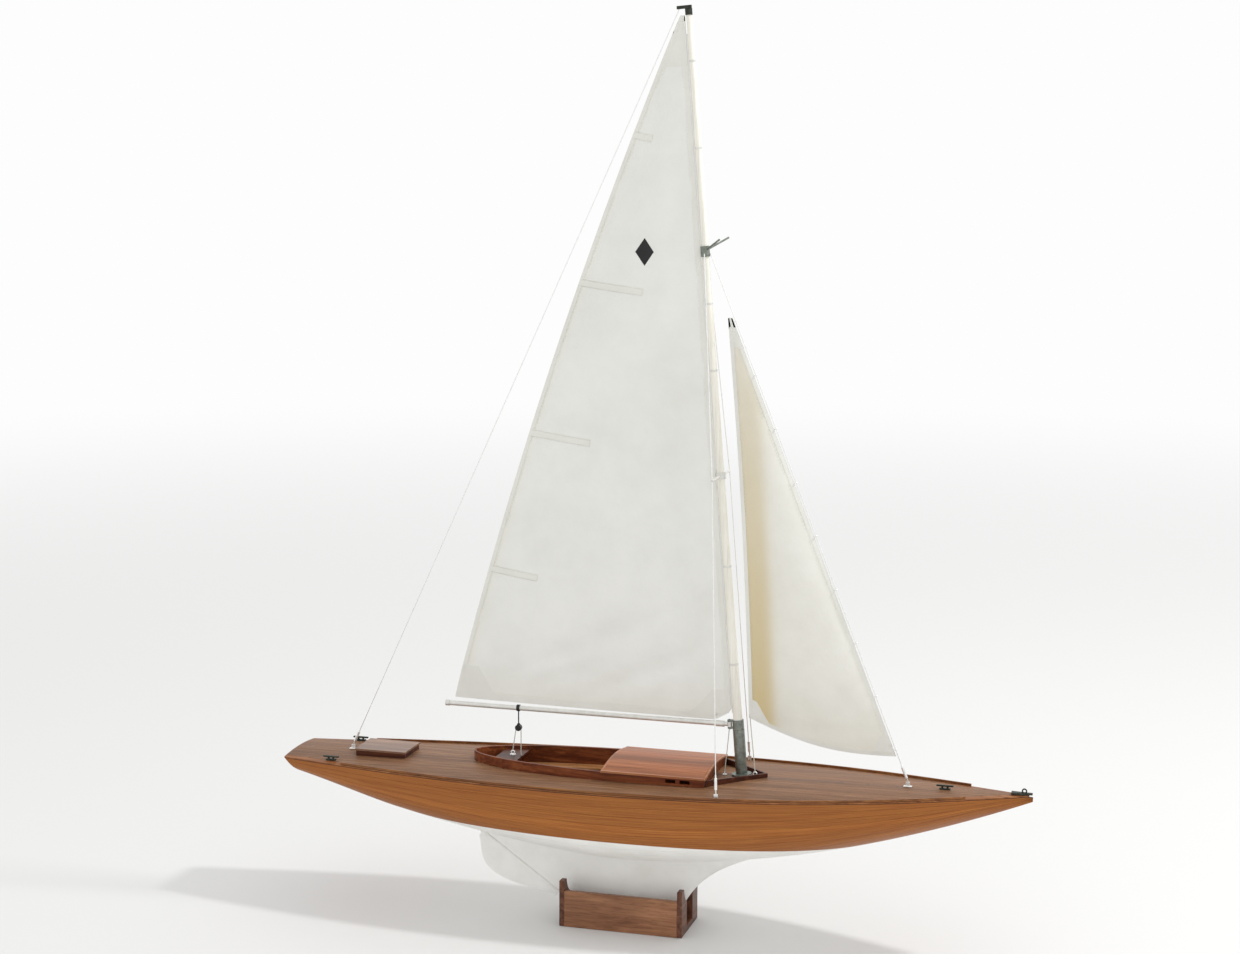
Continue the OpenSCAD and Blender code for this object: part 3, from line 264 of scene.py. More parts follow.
# %% [markdown]
# ## Paint, cloth, metal and plastic
# The keel and rudder carry brushed white enamel: smooth, a little uneven in tone, with faint strokes.
# Sailcloth is a thin plain-woven polyester, threads about 0.25 mm apart. That is too fine to see from
# here, so the weave is drawn 1 mm apart. Metals are dull from handling, plastics are moulded. One flat
# colour each would do from far away, but close up only a little unevenness tells enamel, cloth and metal
# apart.


# %% White enamel on the keel
def white_enamel():
    """Oil paint laid on with a brush."""
    m = blank("brushed_white_enamel")
    place = here(m)
    cloud = add(m, "ShaderNodeTexNoise", Vector=place, Scale=0.025, Detail=6.0, Roughness=0.6)
    colour = ramp(m, cloud.outputs["Fac"], (0.25, "#e9e8e2"), (0.5, "#f2f1ed"), (0.75, "#f6f6f3"))
    marks = add(m, "ShaderNodeVectorMath", {"operation": "MULTIPLY"}, i0=place,
                i1=(0.05, 0.5, 0.9)).outputs[0]
    strokes = add(m, "ShaderNodeTexNoise", Vector=marks, Scale=1.2, Detail=3.0)
    bump = add(m, "ShaderNodeBump", Strength=0.12, Distance=0.0003, Height=strokes.outputs["Fac"])
    shader = add(m, "ShaderNodeBsdfPrincipled", Base_Color=colour, Roughness=0.42, Normal=bump.outputs[0],
                 IOR=1.5)
    return close(m, shader)


# %% Sailcloth, with yellowing and painted shade along the leech
WEAVE = 0.314 / 1.0  # a wave repeats every 0.314 / scale, here 1 mm


def sailcloth(name, clean, dim, stain_and_shade):
    """Plain-woven cloth that reads the yellowing and painted shade stored on a sail."""
    m = blank(name)
    place = here(m)
    cloud = add(m, "ShaderNodeTexNoise", Vector=place, Scale=0.014, Detail=7.0, Roughness=0.62)
    fresh = ramp(m, cloud.outputs["Fac"], (0.3, dim), (0.62, clean))
    age_and_shade = add(m, "ShaderNodeAttribute", {"attribute_name": "age_and_shade"}).outputs["Fac"]
    # The stored marks tint the cloth towards tan: yellowing, and on the jib painted shade along the leech.
    colour = add(m, "ShaderNodeMix", BLEND, i0=age_and_shade, i6=fresh, i7=linear(stain_and_shade)).outputs[2]
    warp = add(m, "ShaderNodeTexWave", {"bands_direction": "X"}, Vector=place, Scale=WEAVE, Distortion=0.4)
    weft = add(m, "ShaderNodeTexWave", {"bands_direction": "Z"}, Vector=place, Scale=WEAVE, Distortion=0.4)
    weave = add(m, "ShaderNodeMath", {"operation": "MAXIMUM"}, i0=warp.outputs["Fac"],
                i1=weft.outputs["Fac"])
    crumple = add(m, "ShaderNodeTexNoise", Vector=place, Scale=0.035, Detail=5.0, Roughness=0.55)
    soft = add(m, "ShaderNodeBump", Strength=0.35, Distance=0.002, Height=crumple.outputs["Fac"])
    bump = add(m, "ShaderNodeBump", Strength=0.12, Distance=0.00015, Height=weave.outputs[0],
               Normal=soft.outputs[0])
    shader = add(m, "ShaderNodeBsdfPrincipled", Base_Color=colour, Roughness=0.78, Normal=bump.outputs[0],
                 Sheen_Weight=0.12, Sheen_Roughness=0.5)
    return close(m, shader)


# %% Metal and plastic
def dull_metal(name, dark, light, rough, metallic=1.0, scale=0.25):
    """Metal dulled by handling, in patches."""
    m = blank(name)
    place = here(m)
    cloud = add(m, "ShaderNodeTexNoise", Vector=place, Scale=scale, Detail=6.0, Roughness=0.65)
    colour = ramp(m, cloud.outputs["Fac"], (0.3, dark), (0.7, light))
    level = add(m, "ShaderNodeMapRange", Value=cloud.outputs["Fac"], To_Min=rough - 0.1,
                To_Max=rough + 0.12)
    bump = add(m, "ShaderNodeBump", Strength=0.1, Distance=0.0001, Height=cloud.outputs["Fac"])
    shader = add(m, "ShaderNodeBsdfPrincipled", Base_Color=colour, Metallic=metallic,
                 Roughness=level.outputs[0],
                 Normal=bump.outputs[0])
    return close(m, shader)


def moulded_plastic(name, base, worn, rough=0.45):
    """Plastic from a mould: a fine even texture and slight wear."""
    m = blank(name)
    place = here(m)
    grain = add(m, "ShaderNodeTexNoise", Vector=place, Scale=2.2, Detail=2.0)
    cloud = add(m, "ShaderNodeTexNoise", Vector=place, Scale=0.08, Detail=4.0)
    colour = ramp(m, cloud.outputs["Fac"], (0.35, base), (0.75, worn))
    bump = add(m, "ShaderNodeBump", Strength=0.15, Distance=0.0001, Height=grain.outputs["Fac"])
    shader = add(m, "ShaderNodeBsdfPrincipled", Base_Color=colour, Roughness=rough, Normal=bump.outputs[0],
                 IOR=1.46)
    return close(m, shader)


# %% Laid cord
def laid_cord():
    """Three twisted strands. They lie about 0.9 mm apart, and are drawn 1.5 mm apart so that they show."""
    m = blank("twisted_polyester_cord")
    place = here(m)
    slant = add(m, "ShaderNodeTexWave", {"bands_direction": "DIAGONAL"}, Vector=place, Scale=0.42,
                Distortion=0.3)
    # The colour follows the strand wave, so the furrows carry painted shade.
    colour = ramp(m, slant.outputs["Fac"], (0.2, "#a8a394"), (0.7, "#d9d5c8"))
    bump = add(m, "ShaderNodeBump", Strength=0.5, Distance=0.0002, Height=slant.outputs["Fac"])
    shader = add(m, "ShaderNodeBsdfPrincipled", Base_Color=colour, Roughness=0.8, Normal=bump.outputs[0],
                 Sheen_Weight=0.2)
    return close(m, shader)


# %% The finishes themselves
# Brushed oil enamel: warm white with a soft sheen.
enamel = white_enamel()
# Polyester sailcloth, kept indoors: off-white and matt, faintly yellow at its edges.
main_cloth = sailcloth("off_white_sailcloth", "#e8e8e3", "#e0e0da", "#d6c9a8")
# The same cloth on the jib. The wide tan band along its leech is partly yellowing and partly painted shade of
# the curled leech.
jib_cloth = sailcloth("off_white_jib_cloth", "#e9e8e0", "#e0ded4", "#cdba8a")
# Two or three layers sewn together let less light through, so they look a little darker.
tape_cloth = sailcloth("doubled_sailcloth", "#e3e3dc", "#dad9d1", "#d2c6a4")
# Twisted polyester: pale and matt, with painted shade in the furrows between its strands.
cord_finish = laid_cord()
# Blackened bronze: nearly black, with a dim glint on its edges.
bronze = dull_metal("blackened_bronze", "#2c2f29", "#50544c", 0.45)
# Tinned brass: a grey-green skin that reads as old metal.
tin = dull_metal("grey_green_tinned_brass", "#6a7069", "#979c94", 0.42)
# Anodised aluminium: the clear oxide makes it pale and satin, less like a mirror than bare metal.
alloy = dull_metal("satin_anodised_aluminium", "#d2d1cb", "#e6e5e0", 0.45, metallic=0.6, scale=0.12)
# Thin bright wire: it catches the white surround and nearly vanishes.
wire = dull_metal("bright_steel_wire", "#e4e4e1", "#f6f6f4", 0.4, metallic=0.7, scale=0.4)
# Drawn brass tube: yellow, going brown.
brass = dull_metal("drawn_brass_tube", "#8a6a30", "#b8944e", 0.35)
# Moulded nylon: black and dull, as on a servo's case.
black_plastic = moulded_plastic("black_nylon", "#0e0e10", "#1d1d20")
# Acetal horns and drum: milky white and slippery looking.
white_plastic = moulded_plastic("white_acetal", "#d5d5d0", "#e6e6e2", 0.38)
# Shrink wrap is stretched tight over the cells, so it shines.
green_wrap = moulded_plastic("green_shrink_wrap", "#1c4a30", "#2f6647", 0.25)
# ABS knob, red so that a thumb finds it.
red_plastic = moulded_plastic("red_abs", "#8e1c14", "#ab3026", 0.35)
# Cut vinyl film: flat black, duller than the moulded parts.
black_ink = moulded_plastic("black_vinyl_film", "#111111", "#1c1c1c", 0.55)
print("materials:", len(bpy.data.materials))

# %% [markdown]
# ## Building pieces from rows of points
# Most pieces of a boat are lofts: a row of points swept along the hull. They could be modelled by hand
# with curves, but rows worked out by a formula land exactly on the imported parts. One helper makes a mesh
# in millimetres, gives it a finish, puts it on its moving body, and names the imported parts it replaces.


# %% Make a piece from points and faces
def piece(name, verts, faces, finish, body, slot, stands_for=(), smooth=40, bevel=0.0, grain=None):
    """A finished piece. smooth is an angle in degrees, bevel a width in millimetres."""
    mesh = bpy.data.meshes.new(name)
    mesh.from_pydata([tuple(c * MM for c in v) for v in verts], [], faces)
    if grain is not None:
        store = mesh.attributes.new("grain", "FLOAT_VECTOR", "POINT")
        store.data.foreach_set("vector", np.array(grain, np.float32).ravel())
    obj = bpy.data.objects.new(name, mesh)
    scene.collection.objects.link(obj)
    edit = bmesh.new()
    edit.from_mesh(mesh)
    bmesh.ops.remove_doubles(edit, verts=edit.verts, dist=1e-6)
    bmesh.ops.dissolve_degenerate(edit, edges=edit.edges, dist=1e-7)
    bmesh.ops.recalc_face_normals(edit, faces=edit.faces)
    edit.to_mesh(mesh)
    edit.free()
    mesh.materials.append(finish)
    if bevel:
        edge = obj.modifiers.new("eased_edges", "BEVEL")
        edge.width, edge.segments, edge.limit_method = bevel * MM, 2, "ANGLE"
        edge.angle_limit = math.radians(40)
    shade(obj, smooth)
    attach(obj, body)
    if stands_for:
        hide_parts(*stands_for)
    return obj


def shade(obj, angle=40):
    """Smooth shading that keeps edges sharper than the angle."""
    mesh = obj.data
    mesh.shade_smooth()
    mesh.set_sharp_from_angle(angle=math.radians(angle))


def loft(rows, caps=True):
    """Points and faces of a skin over equal rows. Each row joins its end to its start."""
    count = len(rows[0])
    verts = [p for row in rows for p in row]
    faces = []
    for i in range(len(rows) - 1):
        for j in range(count):
            a, b = i * count + j, i * count + (j + 1) % count
            faces.append((a, b, b + count, a + count))
    if caps:
        faces.append(tuple(range(count))[::-1])
        faces.append(tuple((len(rows) - 1) * count + j for j in range(count)))
    return verts, faces


def tube(path, radius, sides=12):
    """A round bar along a path; the radius may be one number or one for each point."""
    points = [Vector(p) for p in path]
    radii = radius if hasattr(radius, "__len__") else [radius] * len(points)
    rows, side = [], None
    for i, p in enumerate(points):
        along = (points[min(i + 1, len(points) - 1)] - points[max(i - 1, 0)]).normalized()
        if side is None:
            side = along.orthogonal().normalized()
        side = (side - along * side.dot(along)).normalized()
        up = along.cross(side)
        rows.append([tuple(p + (side * math.cos(t) + up * math.sin(t)) * radii[i])
                     for t in (2 * math.pi * k / sides for k in range(sides))])
    return loft(rows)


def join(*parts):
    """Several (points, faces) as one."""
    verts, faces = [], []
    for v, f in parts:
        faces += [tuple(i + len(verts) for i in face) for face in f]
        verts += v
    return verts, faces


# %% [markdown]
# ## The cords
# The main sheet is a 0.9 mm twisted cord. It runs from its eye on the sheet bridge up over the sheave in
# the boom's block and down to the bridge again: two legs that the wind holds taut. The jib sheet is a
# single leg from a deck eye to the jib's foot corner. A curve with a round bevel could draw them; each
# is drawn as a tube of points along its route.


# %% Main sheet and jib sheet
SHEET_RADIUS = 0.45
MAIN_EYE, BRIDGE_EYE = Vector((-140, 0, 165.2)), Vector((-131.5, 0, 160.3))
SHEAVE, SHEAVE_WRAP = Vector((-134, 0, 188.2)), 2.5


def between(a, b, count):
    """Points evenly along a straight run."""
    return [a.lerp(b, i / (count - 1)) for i in range(count)]


over_sheave = [SHEAVE + Vector((-math.cos(t), 0, math.sin(t))) * SHEAVE_WRAP
               for t in (math.pi * k / 16 for k in range(17))]
main_route = between(MAIN_EYE, over_sheave[0], 24)[:-1] + over_sheave + between(over_sheave[-1], BRIDGE_EYE,
                                                                                26)[1:]
JIB_EYE, JIB_CORNER = Vector((105.4, 0, 163.7)), Vector((100.0, 0, 215.2))
jib_route = between(JIB_EYE, JIB_CORNER, 40)


def cord_length(route):
    """Length in millimetres."""
    return sum((b - a).length for a, b in zip(route, route[1:]))


def sheet_cord(name, route, stands_for):
    """A thin tube along the route."""
    verts, faces = tube(route, SHEET_RADIUS, 10)
    mesh = bpy.data.meshes.new(name)
    mesh.from_pydata([tuple(c * MM for c in v) for v in verts], [], faces)
    obj = bpy.data.objects.new(name, mesh)
    scene.collection.objects.link(obj)
    mesh.materials.append(cord_finish)
    shade(obj, 60)
    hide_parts(stands_for)
    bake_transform(obj)
    print(name, "is", round(cord_length(route), 1), "mm long")


sheet_cord("mainsheet_cord", main_route, "mainsheet")
sheet_cord("jib_sheet_cord", jib_route, "jib_sheet")

# %% [markdown]
# ## The lines of the hull
# A boat builder draws the sheer, the half-breadths and the bottom as fair curves, and every frame follows
# from them. A net of control points could be pushed about until it looks right. The same formulas as the
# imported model's are used instead, so new planks lie exactly where its skin is.


# %% Sheer, half-breadth, bottom and sections
HALF_LEN, WIDEST = 370.0, -20.0
PLANK, DECK = 2.4, 1.6


def sheer(x):
    """Height of the deck's edge."""
    u = x / HALF_LEN
    return 151.5 + 6.25 * u + 4.25 * u * u


def half_beam(x):
    """Half the width of the deck."""
    if x > WIDEST:
        return max(1.2, 79 * math.cos(math.pi / 2 * min(1, ((x - WIDEST) / 390) ** 1.27)))
    return 37 + 42 * math.cos(math.pi / 2 * (WIDEST - x) / 350)


def bottom(x):
    """Height of the hull's lowest line, without the keel."""
    if x > -25:
        return 68 + 88 * ((x + 25) / 395) ** 1.9
    return 68 + 60 * ((-25 - x) / 345) ** 1.45


def fullness(x):
    """From 1 where the hull is widest towards 0 at its ends."""
    return 1 - (abs(x - WIDEST) / 390) ** 2.2


def side_power(x):
    """How square the turn into the sides is."""
    return 2.2 + 1.8 * fullness(x)


def floor_power(x):
    """How flat the floor of a frame is."""
    return 1.4 + (0.4 if x < 0 else -0.2) * (1 - fullness(x))


def deck_top(x, y):
    """Height of the cambered deck."""
    b = half_beam(x)
    return sheer(x) + 5 * b / 79 * (1 - (y / b) ** 2)


def hull_point(x, t, inset, side):
    """A point of the frame at x, from the keel (t = 0) to the rim (t = 1)."""
    angle = math.pi / 2 * (1 - (1 - t) ** 2)
    rim, low = sheer(x) - DECK, bottom(x) + inset
    y = (half_beam(x) - inset) * math.sin(angle) ** (2 / floor_power(x))
    z = rim - (rim - low) * max(0, math.cos(angle)) ** (2 / side_power(x))
    lean = 0.8 * (sheer(x) - z) * max(0, 1 - (x + HALF_LEN) / 118) ** 1.5
    return (x + lean, side * y, z)


def bottom_at(x, y, inset=0):
    """Height of the hull's underside at a place off the centreline."""
    rim, low, b = sheer(x) - DECK, bottom(x) + inset, half_beam(x) - inset
    return rim - (rim - low) * max(0, 1 - min(1, abs(y) / b) ** floor_power(x)) ** (1 / side_power(x))


# %% [markdown]
# ## Planking the hull
# The hull is carvel built: narrow strakes run from stem to stern edge to edge. Fourteen a side share out
# the girth at every frame, so they taper together towards the ends. Seams could be dark lines in a
# material, but real gaps catch the light along their edges. So each strake is a closed solid with a 0.18
# mm seam beside it, over a thin dark inner skin that stops anything showing through.

# %% Strakes from keel to sheer
STRAKES = 14
SEAM = 0.18
BAYS = 72
# Frames stand closer together towards the ends, where the hull turns fastest.
FRAMES = [-HALF_LEN + 2 * HALF_LEN * (0.6 * i / BAYS + 0.4 * (1 - math.cos(math.pi * i / BAYS)) / 2)
          for i in range(BAYS + 1)]


def girth_steps(x):
    """Section parameters, and how far round the frame each is."""
    ts = np.linspace(0, 1, 90)
    line = np.array([hull_point(x, t, 0, 1) for t in ts])
    return ts, np.concatenate([[0], np.cumsum(np.linalg.norm(np.diff(line, axis=0), axis=1))])


def skin_depth(x, depth):
    """A depth into the skin, less where the hull is too thin for it."""
    return min(depth, 0.6 * half_beam(x) * depth / PLANK)


def strake_rows(first, last, outer, inner, side, seam, cross):
    """Rows of points for the band between two girth shares; also each point's place along and across."""
    rows, grain = [], []
    for x in FRAMES:
        ts, arc = girth_steps(x)
        low = arc[-1] * first + (seam / 2 if first > 0 else 0)
        high = arc[-1] * last - (seam / 2 if last < 1 else 0)
        share = np.interp(np.linspace(low, high, cross), arc, ts)
        out = [hull_point(x, t, skin_depth(x, outer), side) for t in share]
        ins = [hull_point(x, t, skin_depth(x, inner), side) for t in share[::-1]]
        rows.append(out + ins)
        grain.append([(x, high * k / cross, 0) for k in range(cross)] * 2)
    return rows, grain


GRAIN_STEP = 137.0  # moves each plank to another stretch of grain


def planked(bands):
    """Joins bands into one set of points, faces and grain, with a number for each plank."""
    verts, faces, grain = [], [], []
    for number, (rows, places) in enumerate(bands):
        v, f = loft(rows)
        faces += [tuple(i + len(verts) for i in face) for face in f]
        verts += v
        grain += [(along + GRAIN_STEP * number, across, number + 1.0)
                  for row in places for along, across, _ in row]
    return verts, faces, grain


strakes = [strake_rows(k / STRAKES, (k + 1) / STRAKES, 0, 1.0, side, SEAM, 5)
           for side in (1, -1) for k in range(STRAKES)]
verts, faces, grain = planked(strakes)
piece("hull_planks", verts, faces, hull_planking, "hull", "mahogany_planking",
                    ["hull_shell"], smooth=50, grain=grain)
lining = [loft(strake_rows(0, 1, 1.0, PLANK, side, 0, 24)[0]) for side in (1, -1)]
piece("hull_inner_skin", *join(*lining), dark_mahogany, "hull", "mahogany_planking", smooth=50)
print("planks:", len(strakes), "each about", round(girth_steps(0)[1][-1] / STRAKES, 1), "mm wide amidships")

# %% [markdown]
# ## Laying the deck
# The deck is laid in narrow strips parallel to the centreline, between a king plank down the middle and
# covering boards along the edges. A boolean could cut the openings out of one sheet, but it leaves ragged
# faces. So each strip is laid in rows that stop where it meets the cockpit, the hatch or the covering
# board.

# %% Strips cut to the outline
STRIP, KING, COVERING = 6.0, 5.0, 6.5
JOINT = 0.12  # half the gap between two strips
UNDERLAY = 1.0  # depth of the strips, over the dark underlay
COCKPIT_AFT, CUDDY_FORE = -180.0, 66.0
HATCH_X, HATCH_LEN, HATCH_W = -273.0, 52.0, 40.0


def well_half(x, inset=0):
    """Half-width of the cockpit and cuddy at x."""
    x0 = COCKPIT_AFT + inset
    u = max(0, min(1, (x - x0) / (CUDDY_FORE - x0)))
    return (45 - inset) * (1 - (1 - u) ** 3) ** 0.55


def cut_out(x):
    """Half-width of the opening in the deck at x, with a working gap."""
    if COCKPIT_AFT - 0.2 < x < CUDDY_FORE + 0.2:
        return well_half(x) + 0.2
    if abs(x - HATCH_X) < HATCH_LEN / 2 + 0.2:
        return HATCH_W / 2 + 0.2
    return 0.0


def deck_runs(low, high, side, top, base, cross=3):
    """The stretches of one deck strip from low(x) to high(x), as closed bands."""
    bands, rows, places = [], [], []
    corners = [HATCH_X + end * (HATCH_LEN / 2 + past) for end in (-1, 1) for past in (0.1, 0.3)]
    corners += [COCKPIT_AFT - 0.1, CUDDY_FORE + 0.1, CUDDY_FORE + 0.4]
    stations = sorted({*np.arange(-369.4, 369.5, 4.0), *np.arange(-181, -158, 0.5), *corners})
    for x in stations:
        lo, hi = max(low(x), cut_out(x)), high(x)
        if hi - lo > 0.25:
            ys = [lo + (hi - lo) * k / (cross - 1) for k in range(cross)]
            rows.append([(x, side * y, deck_top(x, y) - top) for y in ys]
                        + [(x, side * y, deck_top(x, y) - base) for y in ys[::-1]])
            places.append([(x, y, 0) for y in ys + ys[::-1]])
        elif rows:
            bands.append((rows, places))
            rows, places = [], []
    bands.append((rows, places))
    return [band for band in bands if len(band[0]) > 1]


strips = []
for side in (1, -1):
    y = KING
    while y < 76:
        strips += deck_runs(lambda x, y=y: y + JOINT,
                            lambda x, y=y: min(y + STRIP, half_beam(x) - COVERING) - JOINT, side, 0,
                            UNDERLAY)
        y += STRIP
    strips += deck_runs(lambda x: 0, lambda x: min(KING - 0.1, half_beam(x) - COVERING), side, 0, UNDERLAY)
verts, faces, grain = planked(strips)
piece("deck_strips", verts, faces, deck_planking, "hull", "deck_planks", ["deck"], smooth=30, grain=grain)

# %% Covering boards and underlay
boards = []
under = []
for side in (1, -1):
    boards += deck_runs(lambda x: max(0.0, half_beam(x) - COVERING + JOINT), lambda x: half_beam(x) - 0.15,
                        side, 0, UNDERLAY)
    under += deck_runs(lambda x: 0, lambda x: half_beam(x) - 0.3, side, UNDERLAY, DECK, 12)
verts, faces, grain = planked(boards)
piece("covering_boards", verts, faces, deck_edge_wood, "hull", "deck_planks", smooth=30, grain=grain)
piece("deck_underlay", *join(*[loft(rows) for rows, _ in under]), dark_mahogany, "hull", "deck_planks",
      smooth=30)
print("deck strips:", len(strips))

# %% [markdown]
# ## Keel, lead shoe and rudder
# The keel is one long fin, faired into the hull and brushed white, with the lead cast into its foot. It
# could be sculpted, but a loft of rounded foil sections keeps both sides the same and ends exactly at the
# hinge line. The rudder turns on a stock that climbs aft at 35 degrees to the water.

# %% Keel sections
HINGE = Vector((-91, 0, 22.5))
KEEL_FOOT, KEEL_THICK, BALLAST = 6.0, 15.0, 20.0
STOCK_ANGLE = math.radians(35)
NOSE_GAP = (3.0 + 0.3) / math.sin(STOCK_ANGLE)


def keel_side(z, c):
    """Fore-and-aft place and half-thickness at height z, from the nose (c = 0) to the hinge line (c = 1)."""
    h = z - KEEL_FOOT
    fore = 27 + 0.5 * h + 52 * (h / 75) ** 3.7 - 11 * max(0, 1 - h / 14) ** 2
    if z > HINGE.z:
        aft = HINGE.x - (z - HINGE.z) / math.tan(STOCK_ANGLE)
    else:
        aft = HINGE.x + 44 * ((HINGE.z - z) / (HINGE.z - KEEL_FOOT)) ** 0.8
    aft += NOSE_GAP
    body = KEEL_THICK / 2 * min(1, 0.8 + h / 40) + 9 * (max(0, h - 30) / 50) ** 2
    half = 0.4 + 2.5 * c + body * 2.3 * math.sqrt(c) * (1 - c)
    return fore + (aft - fore) * c, half


def keel_lid(c):
    """Height where the keel's side meets the hull's bottom."""
    z = 80.0
    for _ in range(12):
        x, y = keel_side(z, c)
        z = bottom_at(x, y) - 0.3
    return z


# %% Keel and lead shoe
STEPS = 40
CHORDS = [(1 - math.cos(math.pi * i / STEPS)) / 2 for i in range(STEPS + 1)]


def keel_part(name, z0, tops, steps, node):
    """The stretch of keel from height z0 up to tops, one top for each chord."""
    rows = []
    for k in range(steps + 1):
        row = []
        for side, order in ((1, range(STEPS + 1)), (-1, range(STEPS, -1, -1))):
            for i in order:
                z = z0 + (tops[i] - z0) * k / steps
                x, y = keel_side(z, CHORDS[i])
                row.append((x, side * y, z))
        rows.append(row)
    verts, faces = loft(rows, caps=False)
    for k in (0, steps):
        start = k * (2 * STEPS + 2)
        end = start + 2 * STEPS + 1
        faces += [(start + i, start + i + 1, end - 1 - i, end - i) for i in range(STEPS)]
    piece(name, verts, faces, enamel, "hull", "white_bottom_paint", [node], smooth=50)


keel_part("painted_keel", KEEL_FOOT + BALLAST, [keel_lid(c) for c in CHORDS], 30, "keel_fin")
keel_part("lead_shoe", KEEL_FOOT, [KEEL_FOOT + BALLAST] * (STEPS + 1), 14, "keel_ballast")
print("lead shoe:", BALLAST, "mm deep")

# %% The rudder's blade
along_stock = Vector((-math.cos(STOCK_ANGLE), 0, math.sin(STOCK_ANGLE)))
to_trailing_edge = Vector((-math.sin(STOCK_ANGLE), 0, -math.cos(STOCK_ANGLE)))
BLADE_CHORD, NOSE_R, EDGE_HALF = 27.0, 3.0, 0.7

reach = 100.0
for _ in range(20):
    reach = (bottom(HINGE.x - reach * math.cos(STOCK_ANGLE)) - HINGE.z) / math.sin(STOCK_ANGLE)
BLADE_LEN = reach - NOSE_R / math.tan(STOCK_ANGLE) - 10

shares = np.linspace(0.02, 1, 60)
outline = np.interp(shares, (0.02, 0.23, 0.45, 0.66, 0.81, 0.93, 1.0),
                    (0.12, 0.46, 0.83, 1.0, 0.93, 0.5, 0.12))
fair = np.convolve(np.pad(outline, 4, mode="edge"), np.ones(9) / 9, "valid")
rows = []
for share, chord in zip(shares, fair):
    at = HINGE + along_stock * (share * BLADE_LEN)
    tail = max(chord * BLADE_CHORD, NOSE_R * 1.05)
    ring = []
    for k in range(13):
        a = math.pi * (0.5 + k / 12)
        ring.append(at - to_trailing_edge * (-math.cos(a) * NOSE_R) + Vector((0, math.sin(a) * NOSE_R, 0)))
    for side, order in ((-1, range(1, 9)), (1, range(8, 0, -1))):
        for k in order:
            w = k / 8
            half = NOSE_R + (EDGE_HALF - NOSE_R) * w ** 0.7
            ring.append(at + to_trailing_edge * (tail * w) + Vector((0, side * half, 0)))
    rows.append([tuple(p) for p in ring])
verts, faces = loft(rows)
piece("painted_rudder", verts, faces, enamel, "rudder", "white_bottom_paint", ["rudder_blade"], smooth=50)
print("rudder blade:", round(BLADE_LEN, 1), "mm along its stock")

# %% [markdown]
# ## The cuddy roof and the coaming's cap
# The roof is a light board arched over the cuddy. One smooth slab would look like plastic, so nine strips
# lie over a thin underlay, with a solid trim round the edge. The coaming gets a slim cap rail.

# %% Roof strips, edges and forward infill
ROOF_BASE = 163.0
ROOF_AFT, ROOF_FORE = -36.0, 67.5
LEDGE, OVERHANG, ROOF_RISE, ROOF_THICK = 43.0, 46.5, 4.5, 2.0
ROOF_STRIPS, TRIM = 9, 3


def roof_z(y):
    """Height of the arch."""
    return ROOF_BASE + ROOF_RISE * max(0, 1 - (y / LEDGE) ** 2)


def across_roof(y0, y1, top, base, x0, x1, cross=5):
    """Rows for a part of the roof, and each point's place along and across."""
    ys, xs = np.linspace(y0, y1, cross), np.linspace(x0, x1, 12)
    rows = [[(x, y, roof_z(y) + top) for y in ys] + [(x, y, roof_z(y) + base) for y in ys[::-1]] for x in xs]
    return rows, [[(x, y, 0) for y in (*ys, *ys[::-1])] for x in xs]


edges = np.linspace(TRIM - OVERHANG, OVERHANG - TRIM, ROOF_STRIPS + 1)
roof_bands = [across_roof(a + 0.1, b - 0.1, ROOF_THICK, 0.9, ROOF_AFT + 2, ROOF_FORE - 2.2)
              for a, b in zip(edges, edges[1:])]
verts, faces, grain = planked(roof_bands)
# The cuddy's strips are a paler, shinier cut than the deck's, with little streak.
cuddy_planking = plank_wood("light_cuddy_planking", "#7c4626", "#985b36", "#b0734a", 0.36, streak=0.3)
piece("roof_strips", verts, faces, cuddy_planking, "cuddy_roof", "cuddy_wood", ["cuddy_roof"], smooth=30,
      grain=grain)
under_roof = across_roof(-OVERHANG + 0.6, OVERHANG - 0.6, 0.9, 0.0, ROOF_AFT + 0.5, ROOF_FORE - 0.5, 25)[0]
piece("roof_underlay", *loft(under_roof), cuddy_wood, "cuddy_roof", "cuddy_wood", smooth=30)
trims = [across_roof(s * OVERHANG, s * (OVERHANG - TRIM), ROOF_THICK, 0.0, ROOF_AFT, ROOF_FORE, 4)[0]
         for s in (1, -1)]
trims += [across_roof(TRIM - OVERHANG, OVERHANG - TRIM, ROOF_THICK, 0.0, x, x + 2, 21)[0]
          for x in (ROOF_AFT, ROOF_FORE - 2)]
piece("roof_edge_trims", *join(*[loft(rows) for rows in trims]), cuddy_wood, "cuddy_roof", "cuddy_wood",
      bevel=0.4)
infill = [[(x, y, ROOF_BASE) for y in np.linspace(-LEDGE, LEDGE, 25)]
          + [(x, y, roof_z(y)) for y in np.linspace(LEDGE, -LEDGE, 25)] for x in (CUDDY_FORE - 2,
                                                                                  CUDDY_FORE)]
piece("roof_forward_board", *loft(infill), red_mahogany, "cuddy_roof", "cuddy_wood")
print("roof:", ROOF_STRIPS, "strips,", ROOF_FORE - ROOF_AFT, "mm long")

# %% Cap rail on the coaming, outside the roof
CAP_W, CAP_BASE, CAP_TOP = 2.6, 162.0, 163.0
cap = []
for side in (1, -1):
    rows = []
    for x in np.linspace(COCKPIT_AFT + 0.02, ROOF_AFT - 0.6, 60):
        w = well_half(x)
        inner = max(0.0, w - CAP_W)
        rows.append([(x, side * w, CAP_BASE), (x, side * w, CAP_TOP),
                     (x, side * (w + inner) / 2, CAP_TOP + 0.15),
                     (x, side * inner, CAP_TOP), (x, side * inner, CAP_BASE)])
    cap.append(loft(rows))
piece("coaming_cap", *join(*cap), red_mahogany, "hull", "coaming_wood", bevel=0.25)

